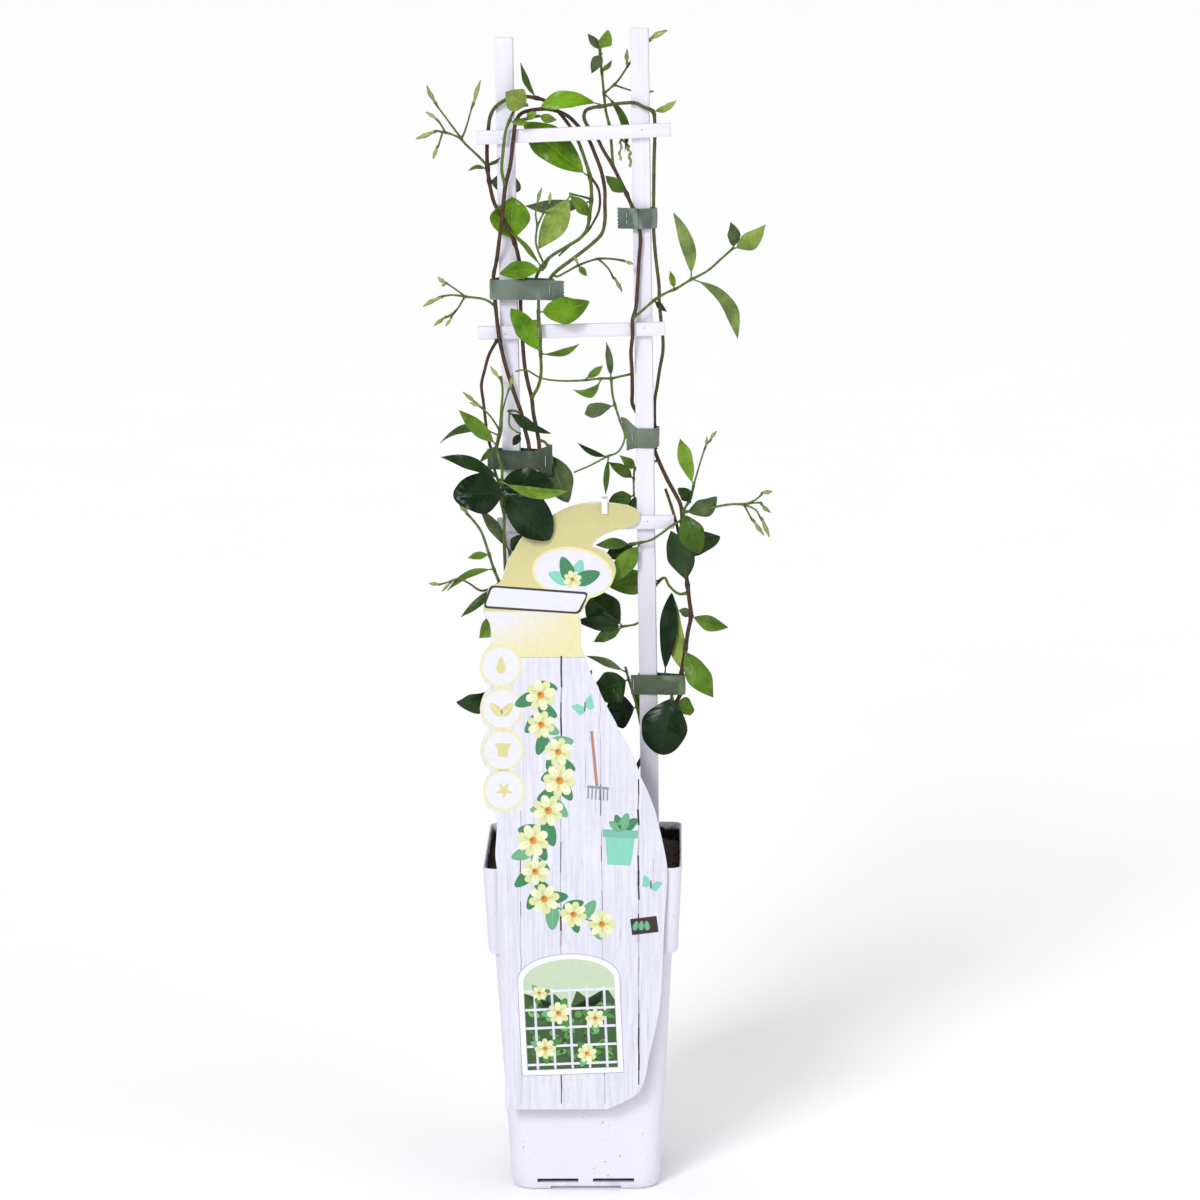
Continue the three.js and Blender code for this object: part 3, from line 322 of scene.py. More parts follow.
def rounded_rectangle(width, depth, radius, steps=3):
    """Points round a rectangle with round corners, anticlockwise seen from +Z."""
    ring = []
    for corner, (sx, sy) in enumerate([(-1, -1), (1, -1), (1, 1), (-1, 1)]):
        for i in range(steps + 1):
            angle = math.radians(180 + 90 * corner + 90 * i / steps)
            x = sx * (width / 2 - radius) + radius * math.cos(angle)
            y = sy * (depth / 2 - radius) + radius * math.sin(angle)
            ring.append((x, y))
    return ring


def reshape(piece):
    """Makes the piece's modifiers part of its mesh."""
    graph = bpy.context.evaluated_depsgraph_get()
    made = bpy.data.meshes.new_from_object(piece.evaluated_get(graph))
    piece.modifiers.clear()
    piece.data = made


def cut(piece, cutter, operation="DIFFERENCE"):
    """Applies a boolean with the cutter, which is then removed."""
    change = piece.modifiers.new(operation, "BOOLEAN")
    change.operation = operation
    change.object = cutter
    change.solver = "EXACT"
    reshape(piece)
    bpy.data.objects.remove(cutter)


def plain(form, name):
    """A bare object from a form, for cutting."""
    mesh = bpy.data.meshes.new(name)
    mesh.from_pydata(np.vstack(form.corners).tolist(), [], form.faces)
    piece = bpy.data.objects.new(name, mesh)
    bpy.context.scene.collection.objects.link(piece)
    return piece


def soften(piece, width):
    """Rounds a bare object's edges."""
    change = piece.modifiers.new("edges", "BEVEL")
    change.width = width
    change.segments = 3
    reshape(piece)


def smooth_over(piece, degrees):
    """Shades the piece smooth, but for edges sharper than the angle."""
    piece.data.shade_smooth()
    piece.data.set_sharp_from_angle(angle=math.radians(degrees))


def block(low, high):
    """A bare box from its lowest to its highest corner."""
    form = Form()
    ring = [(low[0], low[1]), (high[0], low[1]), (high[0], high[1]), (low[0], high[1])]
    lofted(form, [np.array([(x, y, z) for x, y in ring]) for z in (low[2], high[2])])
    return plain(form, "block")


# ---- the growing parts, in millimetres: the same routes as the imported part's ----
Stem = namedtuple("Stem", "root_radius tip_radius points")
# count is how many small buds hang there in a string
Bud = namedtuple("Bud", "base tip girth count", defaults=[1])


class Leaf:
    """turn is in degrees about the leaf's axis; arch and bow bend its midrib off and along its face.

    look holds what else is known of it: fold, twist, wide, point, wave, droop or uneven.
    """

    def __init__(self, base, tip, width, tone, turn=0, arch=0, bow=0, **look):
        self.base, self.tip, self.width, self.tone = base, tip, width, tone
        self.turn, self.arch, self.bow, self.look = turn, arch, bow, look


PLANT = {}


def shoot(node, slot, *parts):
    """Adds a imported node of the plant, with its slot, and its stems, leaves and buds."""
    PLANT[node] = (slot, parts)


shoot(
    "left_stem", "bark",
    Stem(1.3, 1.1, [(-14, -6, 188), (-17, -6, 215), (-22, -6, 260), (-26, -6, 310), (-28, -3, 360),
         (-29, 2, 398), (-29, 2, 414), (-30, -1, 438), (-31, -3, 454), (-33, -4, 463), (-35, -5, 473),
         (-39, -6, 485), (-43, -6, 498), (-46, -6, 510), (-48, -6, 521), (-50, -3, 540), (-51, -1, 555),
         (-49, -2, 565), (-47, -8, 578), (-45, -9, 592), (-43, -6, 610), (-40, -5, 622), (-38, -7, 637),
         (-36, -6, 649), (-33, -4, 653), (-25, -3, 655), (-16, -2, 655), (-6, 1, 651), (1, 2, 644),
         (7, 1, 636), (10, 0, 629), (14, -1, 618), (16, -2, 607), (16, -3, 598), (16, -4, 589), (14, -4, 581),
         (8, -5, 575), (3, -5, 571), (-5, -5, 565), (-15, -3.5, 557), (-20, -2, 549)]),
    Stem(1.0, 0.9, [(-49, -6, 518), (-54, -4, 509), (-57, -3, 499), (-59, -2, 490), (-58, -1, 480),
         (-57, 0, 469), (-56, 1, 459), (-54, 2, 451), (-52, 3, 438), (-49, 4, 428)]),
    Stem(0.8, 0.7, [(-26, -6, 306), (-30, -14, 304), (-39, -19, 303), (-52, -21, 306)]),
    Leaf((-52, -21, 306), (-75, -28, 300), 15, "dark", -25, 3),
    Leaf((-28, -3, 360), (-12, -15, 386), 14, "mid", -20, 3),
    Leaf((-18, -6, 232), (-2, -20, 248), 14, "mid", 30, 3),
)
shoot(
    "left_tip_shoot", "leaf",
    Stem(1.0, 0.8, [(-43, -6, 610), (-45, -6, 619), (-44, -8, 631), (-43, -9, 639), (-42, -8, 644),
         (-40, -8, 649), (-37, -9, 655), (-33, -9, 657.5), (-29, -9, 658.5)]),
    Leaf((-29, -9, 658), (-42, -12, 666), 15, "light", 0, 2, point=0.95, wide=0.45, wave=0.08),
    Leaf((-40, -8, 649), (-28, -12, 648), 4, "fresh", 40, 1),
)
shoot(
    "inner_stem", "bark",
    Stem(1.3, 1.0, [(-4, 1, 188), (-7, 1, 220), (-12, 0, 270), (-17, -1, 330), (-21, 1, 380), (-22, 2, 398),
         (-23, 2, 412), (-24, 0, 432), (-25, -2, 456), (-28, -2, 473), (-29, 0, 482), (-31, 1, 490),
         (-33, 2, 501), (-34, 2, 514), (-35, 1, 536), (-35, -2, 562), (-38, -4, 576), (-42, -6, 586),
         (-46, -6, 593), (-50, -2, 600), (-53, 4, 612), (-54, 5, 621), (-54, 5, 634), (-53, 5, 644),
         (-52, 4, 650), (-49, -1, 656), (-44, -3, 660), (-40, -4, 662), (-33, -3, 663), (-25, -2, 662),
         (-19, 0, 660), (-13, 3, 655), (-5, 5, 645), (0, 5, 636), (4, 5, 625), (7, 3, 615), (8, 2, 604),
         (7, 1, 593), (5, 1, 583), (1, 0, 578), (-7, 0, 573), (-18, -1, 566), (-25, -3, 556),
         (-26, -3, 548)]),
    Stem(0.8, 0.6, [(7, 3, 615), (12, 5, 607), (13, 5, 599), (12, 5, 593), (9, 5, 587), (5, 5, 581),
         (-3, 4, 575), (-12, 4, 567)]),
    Stem(0.7, 0.6, [(8, 2, 601), (2, 0, 603), (-5, -3, 605)]),
    Leaf((-24, -2, 662), (-32, -5, 683), 5, "moss", 50, 0, -3),
    Leaf((7, 3, 614), (-33, 8, 647), 21, "glossy", 15, -3, wide=0.56, point=1.0, fold=0.2),
    Leaf((-4, -3, 605), (-24, -7, 572.5), 15, "light", 0, 3, wide=0.45),
    Leaf((8, 2, 600), (-32, 6, 597), 9, "grey", 20, -2, -2, wide=0.5),
    Leaf((7, 1, 590), (-4, -4, 604), 8, "mid", 20, 1),
    Leaf((-22, -2, 561), (-39, -9, 584), 4, "mid", 50),
    Leaf((-53, 4, 612), (-34, 14, 606), 12, "grey", 10, -5, point=0.42, wide=0.5, fold=0.1),
    Leaf((-54, 5, 619), (-65, -1, 619), 3, "mid", 40, 0, 2),
    Leaf((-54, 5, 621), (-46, -3, 626), 3, "moss", 40),
    Leaf((-38, -4, 576), (-39, -2, 603), 24, "glossy", 0, -1, -3, fold=0.5, point=0.8, wide=0.5, wave=0.12),
    Leaf((-13, 0, 290), (6, 14, 312), 15, "mid", 0, -3),
    Leaf((-9, 1, 240), (8, 18, 226), 15, "grey", 20, -3),
)
shoot(
    "fork_shoot", "leaf",
    Stem(1.0, 0.9, [(-29, 0, 482), (-25, -3, 489), (-23, -6, 498), (-23, -10, 510), (-23, -11, 524),
         (-24, -10, 532), (-24, -6, 541), (-24, -5, 552)]),
    Leaf((-23, -10, 510), (0, -16, 516), 5, "mid", 30, 0, 3),
    Leaf((-23, -10, 510), (-40, -15, 538), 13, "glossy", 20, 2, point=0.75, wide=0.55),
    Leaf((-24, -10, 531), (-30, -5, 524), 6, "light"),
    Leaf((-24, -9, 535), (6, -18, 541), 17, "glossy", 10, 3, point=0.75),
)
shoot(
    "tied_leaf_shoot", "leaf",
    Stem(0.8, 0.7, [(-18, -1, 566), (-20, -7, 562), (-22, -9, 560)]),
    Leaf((-21, -8, 560), (-47, -8, 557), 12, "glossy", -20, 2, 3, point=0.8),
    Stem(0.7, 0.6, [(-20, -7, 562), (-25, -10, 576), (-24, -12, 588)]),
    Stem(0.6, 0.5, [(-24, -12, 587), (-25, -13, 594), (-24, -14, 600)]),
    Bud((-24, -14, 599), (-21, -15, 610), 2.6),
    Stem(0.6, 0.5, [(-24, -12, 587), (-20, -11, 595), (-17, -11, 600)]),
    Bud((-17, -11, 599), (-16, -12, 607), 2.4),
    Bud((-20, -11, 595), (-12, -14, 599), 2.4),
)
shoot(
    "crown_leaf_shoot", "leaf",
    Stem(0.9, 0.7, [(-36, -6, 649), (-30, -8, 650), (-22, -9, 652)]),
    Leaf((-23, -9, 652), (-12, -8, 649), 6, "fresh", 20),
    Leaf((-30, -8, 650), (-24, -13, 654), 5, "fresh"),
)
shoot(
    "tie_spray", "bud",
    Stem(0.7, 0.6, [(-15, -3.5, 557), (-13, -8, 556), (-7, -9, 559), (0, -11, 563), (12, -12, 567),
         (21, -14, 567), (27, -14, 566)]),
    Stem(0.6, 0.5, [(12, -12, 567), (18, -12, 561), (21, -12, 555)]),
    Bud((27, -14, 566), (33, -15, 564), 2.6),
    Bud((21, -12, 556), (26, -13, 547), 2.8),
    Bud((0, -11, 563), (-3, -13, 569), 2.4),
    Leaf((0, -11, 563), (5, -14, 557), 4, "mid"),
)
shoot(
    "upper_left_spray", "bud",
    Stem(0.8, 0.7, [(-54, 5, 621), (-59, 2, 627), (-67, 0, 635), (-70, -1, 639)]),
    Stem(0.7, 0.5, [(-69, -1, 638), (-74, -2, 645), (-84, -3, 659)]),
    Stem(0.7, 0.5, [(-69, -1, 638), (-67, -1, 642), (-62, -3, 658)]),
    Stem(0.7, 0.5, [(-69, -1, 638), (-76, -1, 641), (-84, -3, 643)]),
    Stem(0.6, 0.5, [(-78, -1, 641), (-82, -2, 648), (-84, -2, 650)]),
    Stem(0.6, 0.5, [(-80, -2, 642), (-82, -2, 636), (-83, -2, 633)]),
    Bud((-83, -3, 658), (-89, -3, 670), 3.2),
    Bud((-62, -3, 657), (-57, -4, 673), 3.2),
    Bud((-83, -3, 643), (-96, -4, 638), 3.4),
    Bud((-83, -2, 649), (-90, -1, 654), 2.6),
    Bud((-83, -2, 634), (-86, -2, 626), 2.8),
)
shoot(
    "middle_left_spray", "bud",
    Stem(0.8, 0.7, [(-50, -3, 538), (-56, -4, 542), (-69, -4, 544)]),
    Stem(0.6, 0.5, [(-68, -4, 544), (-73, -5, 548), (-80, -5, 553)]),
    Stem(0.7, 0.5, [(-68, -4, 544), (-76, -5, 545), (-83, -5, 544)]),
    Stem(0.6, 0.5, [(-68, -4, 544), (-74, -4, 535), (-80, -3, 531)]),
    Stem(0.6, 0.5, [(-74, -4, 535), (-77, -5, 531)]),
    Bud((-79, -5, 552), (-84, -5, 556), 3),
    Bud((-79, -5, 552), (-82, -7, 551), 2.2),
    Bud((-82, -5, 544), (-93, -5, 538), 3.2),
    Bud((-81, -5, 544), (-89, -7, 542), 2.4),
    Bud((-79, -3, 532), (-87, -2, 526), 2.8),
    Bud((-76, -5, 532), (-80, -5, 526), 2.2),
)
shoot(
    "right_stem", "bark",
    Stem(1.3, 1.0, [(9, 9, 188), (14, 9, 215), (22, 8, 235), (32, 5, 252), (41, 4, 269), (49, 0, 284),
         (56, -4, 294), (60, -7, 303), (60, -7, 313), (62, -8, 325), (64, -9, 339), (66, -10, 350),
         (65, -10, 360), (64, -10, 369), (62, -9, 384), (60, -9, 400), (61, -7, 409), (60, -3, 417),
         (58, -1, 421), (52, 1, 432), (47, 2, 443), (42, 3, 456), (36, 3, 469), (31.5, 0, 478),
         (31.5, -2, 485), (31.5, -7, 498), (31, -11, 511), (32, -12.5, 521), (32, -12, 530), (34, -11, 537),
         (35, -9, 548), (36, -9, 564), (37, -9, 580), (35, -9, 590), (32, -8, 598), (29, -6, 605),
         (25, -3, 613), (21, -2, 621), (15, 0, 631), (12, 0, 637), (6, 0, 645), (4, -1, 650), (5, -2, 654),
         (9, -4, 656), (15, -6, 657), (20, -7, 658), (28, -8, 659), (35, -9, 659), (39, -10, 657),
         (45, -9, 654), (46, -6, 648), (46, -5, 638), (45.5, -5, 625), (45, -6.2, 595), (45, -6.2, 583),
         (46, -6, 568), (48, -5, 549), (48, -4, 540), (49, -3, 529), (50, -3, 519), (50, -3, 510),
         (48, -2, 499), (46.5, 0, 489), (45, 1.4, 480), (44.8, 1.6, 469), (45, 1.4, 458), (45.5, 1, 450)]),
    Stem(1.0, 0.9, [(62, -9, 385), (60, -6, 395), (57, -2, 407), (54, 0, 417), (51, 0, 426)]),
    Leaf((45, -9, 654), (59, -12, 660), 5, "light", 30, 2),
    Leaf((14, -6, 658), (-21, -10, 658), 11, "glossy", 15, 0, 3, wide=0.68, point=0.8, fold=0.3),
    Leaf((29, -6, 605), (17, -9, 616), 8, "moss", 20),
    Leaf((66, -10, 350), (59, -13, 354), 6, "grey", 30),
    Leaf((66, -10, 350), (88, -18, 344), 10, "mid", 20, 2),
    Leaf((61.5, -8, 330), (79, -17, 301), 15, "mid", 10, 3, wide=0.5),
    Leaf((60, -7, 313), (55, 2, 359), 14, "light", -35),
    Stem(0.7, 0.6, [(60, -7, 312), (56, -7, 311), (50, -7, 312)]),
    Leaf((50, -7, 312), (54, -5, 363), 11, "deep", -10, point=0.75, wide=0.58, fold=0.12),
    Leaf((56, -4, 294), (68, 3, 289), 12, "mid", -40),
    Leaf((64, -10, 369), (54, -19, 403), 17, "dark", -10, -3),
    Leaf((62, -9, 384), (84, -12, 398), 18, "dark", 30, -4, -3),
    Leaf((32, 5, 252), (26, 22, 232), 16, "mid", 20, -3),
)
shoot(
    "top_shoot", "leaf",
    Stem(0.9, 0.7, [(21, -2, 621), (20, 0, 636), (19, 0, 645), (17, -1, 654), (16, -1, 664), (15, -4, 676),
         (14, -6, 688), (14, -6, 693)]),
    Leaf((14, -6, 691), (19, -12, 702), 8, "fresh", 20, 2),
    Leaf((14, -6, 690), (7, -9, 700), 5, "grey", 10),
    Leaf((15, -6, 688), (9, -12, 677), 7, "grey", 0, 2),
    Leaf((15, -4, 677), (21, -10, 684), 4, "mid", 40),
    Stem(0.6, 0.5, [(19, 0, 645), (26, 2, 637), (31, 1, 632)]),
    Bud((30, 1, 633), (32, -1, 620), 2.8, 5),
    Bud((26, 2, 637), (25, 0, 624), 2.4, 4),
    Leaf((16, -1, 664), (28, 3, 629), 5, "moss", 15, 0, -6),
)
shoot(
    "top_twig", "leaf",
    Stem(0.7, 0.5, [(16, -1, 664), (24, 3, 671), (31, 5, 681), (38, 6, 690), (43, 5, 695)]),
    Bud((42, 5, 694), (54, 2, 701), 4),
    Bud((30, 5, 680), (30, 3, 690), 3),
    Stem(0.6, 0.5, [(22, 2, 669), (30, 4, 666), (38, 5, 664)]),
    Bud((37, 5, 664), (46, 3, 665), 2.6),
)
shoot(
    "upper_right_shoot", "leaf",
    Stem(0.9, 0.7, [(32, -12, 531), (39, -14, 537), (46, -14, 543), (53, -14, 547), (58, -14, 549),
         (66, -15, 554), (77, -16, 560), (85, -16, 567), (93, -16, 574)]),
    Leaf((67, -15, 555), (56, -20, 594), 9, "sage", -20, 0, 4, wide=0.45, point=0.85),
    Leaf((67, -15, 555), (94, -24, 520), 9, "sage", 20, 0, -9, wide=0.62, point=0.85),
    Leaf((92, -16, 573), (91, -18, 589), 8, "grey", 20, 2),
    Leaf((92, -16, 573), (111, -21, 587), 11, "light", 10, 2, 2),
    Leaf((57, -14, 549), (55, -18, 560), 4, "fresh", 20),
    Leaf((45, -14, 542), (52, -19, 536), 4, "dark", 20),
)
shoot(
    "wavy_shoot", "leaf",
    Stem(0.8, 0.5, [(32, -6, 497), (25, -9, 496), (19, -11, 495), (13, -11, 495), (1, -12, 494),
         (-13, -12, 494), (-23, -14, 496), (-32, -15, 501), (-38, -14, 500)]),
    Stem(0.8, 0.5, [(19, -11, 495), (20, -12, 484), (24, -13, 470), (27, -13, 460), (23, -13, 451),
         (16, -13, 448), (7, -12, 443), (-4, -10, 438)]),
    Leaf((13, -11, 495), (-4, -12, 489), 6, "mid", 20, 0, -6),
    Leaf((4, -12, 495), (14, -16, 503), 5, "mid", 20),
    Leaf((19, -11, 495), (17, -15, 517), 5, "grey", 30),
    Leaf((21, -12, 479), (3, -14, 474), 9, "grey", 10, 2, wide=0.7),
    Leaf((17, -13, 448), (-1, -15, 457), 4, "dark", 30, 0, -2),
    Leaf((17, -13, 448), (15, -17, 426), 4, "moss", 20),
)
shoot(
    "post_side_shoot", "leaf",
    Stem(0.7, 0.6, [(47, 2, 443), (40, 5, 441), (33, 4, 438), (32, 1, 432), (32, 0, 422)]),
    Leaf((32, 1, 432), (17, -3, 443), 7, "moss", 20, 2),
    Leaf((33, 4, 438), (24, -4, 447), 6, "mid", 20, 2),
    Leaf((32, 0, 422), (17, -3, 419), 10, "moss", 10, 2),
    Leaf((32, 0, 422), (35, 8, 406), 12, "moss", 10, -2),
)
shoot(
    "right_spray", "bud",
    Stem(0.9, 0.8, [(61, -8, 403), (62, -11, 409), (62, -13, 415), (66, -13, 422), (68, -12, 430)]),
    Stem(0.6, 0.5, [(68, -12, 430), (70, -12, 437), (73, -12, 447), (76, -12, 455), (79, -12, 458)]),
    Stem(0.8, 0.7, [(62, -13, 414), (72, -17, 416), (80, -19, 418), (91, -21, 420), (99, -22, 420)]),
    Stem(0.6, 0.5, [(98, -22, 420), (105, -23, 423), (109, -25, 427)]),
    Stem(0.6, 0.5, [(98, -22, 420), (105, -22, 421), (109, -22, 421)]),
    Stem(0.6, 0.5, [(98, -22, 420), (105, -24, 417), (108, -26, 412)]),
    Stem(0.6, 0.5, [(98, -22, 420), (101, -21, 414), (103, -21, 410)]),
    Bud((108, -25, 427), (115, -25, 428), 3),
    Bud((108, -22, 421), (114, -22, 415), 3),
    Bud((108, -26, 413), (113, -28, 401), 3.2),
    Bud((103, -21, 411), (110, -22, 401), 3),
    Bud((78, -12, 457), (82, -12, 463), 2.6),
    Bud((75, -12, 453), (76, -13, 460), 2),
    Leaf((68, -12, 430), (60, -18, 459), 9, "fresh", -10, 2, wave=0.16, wide=0.6),
    Leaf((66, -13, 420), (59, -15, 429), 8, "dark", 20, 2),
    Leaf((63, -13, 414), (82, -19, 423), 14, "grey", 30, 3, wide=0.6, point=0.8),
    Leaf((61.5, -13, 414.5), (71, -21, 390), 16, "moss", 0, 2, wide=0.55, wave=0.14, point=0.75),
)
shoot(
    "crossing_shoot", "leaf",
    Stem(0.8, 0.7, [(61, -11, 409), (58, -15, 408), (54, -17, 406), (49, -16, 402), (42, -13, 397),
         (35, -11, 395), (29, -9, 394)]),
    Leaf((30, -9, 394), (9, -12, 394), 7, "moss", 20, 1),
    Leaf((33, -10, 394), (14, -6, 385), 10, "dark", 10),
    Leaf((36, -11, 395), (17, -12, 370), 12, "mid"),
)
shoot(
    "low_middle_shoot", "leaf",
    Stem(0.9, 0.7, [(64, -10, 364), (59, -8, 363), (53, -3, 367), (50, 3, 371), (45, 5, 366), (40, 5, 352),
         (34, 4, 343), (24, 2, 341)]),
    Leaf((25, 2, 341), (3, 2, 361), 22, "dark", 0, -3),
    Leaf((25, 2, 341), (-4, -3, 346), 9, "dark", 10, 2),
    Leaf((25, 2, 341), (7, -4, 333), 8, "moss", 20),
    Leaf((47, 4, 369), (14, 11, 365), 16, "mid", 0, -2),
)
shoot(
    "low_left_shoot", "leaf",
    Stem(0.9, 0.7, [(41, 4, 269), (36, 7, 276), (33, 6, 290), (29, 4, 304), (26, 3, 316)]),
    Leaf((33, 6, 290), (14, 1, 287), 21, "deep", 0, -3),
    Leaf((28, 3.5, 308), (6, -2, 301), 20, "dark", 10, 3),
    Leaf((26, 3, 313), (3, 1, 324), 5, "grey", 30),
    Leaf((34, 6, 288), (42, 18, 306), 14, "moss", 10, -2),
)
shoot(
    "low_right_leaf", "leaf",
    Stem(0.9, 0.8, [(56, -4, 294), (56, -9, 295), (55, -12.5, 298), (54, -13, 303)]),
    Leaf((54, -13, 303), (48, -19, 266), 28, "deep", 0, 4, point=0.5, wide=0.5, fold=0.12, droop=0.0),
)
shoot(
    "front_shoot", "leaf",
    Stem(1.2, 0.7, [(-20, -13, 188), (-27, -13, 240), (-36, -13, 300), (-43, -14, 345), (-45, -14, 367),
         (-46, -14, 395), (-46, -13, 407), (-46, -13, 418), (-47, -12, 432), (-47, -11, 440), (-50, -11, 454),
         (-48, -11, 464), (-47, -11, 476), (-46, -11, 488), (-47, -12, 497)]),
    Stem(0.7, 0.5, [(-50, -11, 454), (-47, -13, 464), (-46, -14, 476), (-42, -15, 490)]),
    Stem(0.6, 0.5, [(-48, -11, 464), (-54, -10, 473), (-62, -8, 480)]),
    Bud((-47, -12, 495), (-53, -12, 503), 2.8),
    Bud((-42, -15, 489), (-40, -16, 499), 2.8),
    Bud((-61, -8, 479), (-70, -8, 487), 2.8),
    Bud((-59, -9, 478), (-66, -10, 481), 2.4),
    Leaf((-50, -11, 455), (-72, -15, 477), 9, "mid", 15, 2),
    Leaf((-49, -11, 461), (-84, -13, 458), 6, "moss", 40, 0, 7),
    Leaf((-47, -12, 433), (-83, -15, 449), 8, "dark", 20, 2, 3, wide=0.55),
    Leaf((-47, -13, 433), (-8, -26, 428), 8, "fresh", 20, 4, 1, wide=0.6, fold=0.3),
    Leaf((-50, -11, 455), (-60, -13, 445), 4, "moss"),
    Leaf((-51, -12.5, 430), (-18, -12.5, 433), 18, "deep", -8, point=0.6, wide=0.42),
)
shoot(
    "front_leaf_shoot", "leaf",
    Stem(0.9, 0.8, [(-46, -13, 414), (-47.5, -15.5, 420), (-48, -17, 428)]),
    Leaf((-43.5, -15.5, 427), (-76, -21, 426.5), 25, "deep", 10, 3, point=0.55, wide=0.4, wave=0.12),
    Leaf((-48, -16, 428.5), (-18, -18.5, 399), 25, "deep", -10, 1, point=0.6, wide=0.5, wave=0.16),
)
shoot(
    "tie_leaf_shoot", "leaf",
    Stem(0.9, 0.8, [(-25, -2, 456), (-22, -3, 456), (-20, -3.5, 454), (-18.5, -4, 450)]),
    Leaf((-18.5, -4, 450), (-8.5, -8, 419), 20, "grey", 22, point=0.7, wide=0.42),
)
shoot(
    "side_leaf_shoot", "leaf",
    Stem(0.7, 0.6, [(-35, -5, 473), (-39, -9, 475.5), (-43, -10, 475.5)]),
    Stem(0.6, 0.5, [(-42, -10, 475.5), (-42, -11, 467), (-38, -11, 463), (-35.5, -10.5, 462)]),
    Leaf((-43, -10, 475.5), (-18, -15, 461.5), 8, "dark", 30, 2, wide=0.35),
    Leaf((-35.5, -10.5, 462), (-40, -12, 455), 5, "deep"),
)
shoot(
    "lower_left_shoot", "leaf",
    Stem(1.1, 0.7, [(-24, -9, 188), (-31, -9, 240), (-40, -9, 300), (-46, -9, 350), (-48, -9, 366),
         (-53, -9, 380), (-56, -9, 390), (-60, -9, 402), (-64, -9, 408), (-69, -10, 414)]),
    Stem(0.7, 0.5, [(-50, -9, 370), (-60, -10, 366), (-68, -11, 371), (-74, -12, 374), (-79, -11, 372),
         (-86, -11, 370)]),
    Bud((-68, -10, 413), (-73, -10, 419), 2.4),
    Bud((-68, -10, 413), (-69, -12, 420), 2.2),
    Bud((-85, -11, 370), (-92, -12, 371), 2.8),
    Bud((-78, -11, 372), (-84, -13, 366), 2.2),
    Leaf((-46, -9, 352), (-62, -14, 338), 12, "mid", 10),
    Leaf((-55, -9, 388), (-68, -12, 387), 5, "mid", 30),
    Leaf((-52, -9, 379), (-81, -13, 367), 5, "mid", 40, 0, 4),
    Leaf((-49, -9, 369), (-73, -13, 351), 6, "moss", 30),
)
shoot(
    "collar_leaf_shoot", "leaf",
    Stem(0.9, 0.8, [(-45, -14, 378), (-43, -10, 384), (-43, -9, 390)]),
    Leaf((-43, -9, 390), (-60, -12, 416), 7, "grey", 20, 1, wide=0.55),
    Leaf((-43, -9, 390), (-33, -9, 399), 11, "dark", 0, 2),
)


# ---- making the growing parts ----
BARK, FACE, BACK, BUD = range(4)
LEAF_ROWS, LEAF_COLUMNS = 23, 13
LEAF_GAUGE = 0.4 * MM
LEAF_LEAST_HALF = 0.22 * MM
# share of a leaf's length that is its stalk, which ends a little way into the blade
STALK_SHARE, STALK_OVERLAP = 0.09, 0.06
STALK_RADII = np.array([0.62, 0.56, 0.5, 0.42, 0.25]) * MM
# width over length above which a leaf is broad, and how fast a broad and a slender leaf narrow
BROAD_LEAF = 0.55
BROAD_POINT, SLENDER_POINT = 0.72, 0.98
# share of the half width: how far a leaf's halves sag, and how deep the ripple of its edge is
LEAF_SAG = 0.16
EDGE_RIPPLE = 0.028


def blade_outline(t, wide, point):
    """Share of the half width at t, from the stalk's end to the tip: widest at wide."""
    if t < wide:
        return math.sin(math.pi / 2 * t / wide)**0.85
    return math.cos(math.pi / 2 * min((t - wide) / (1 - wide), 1))**point


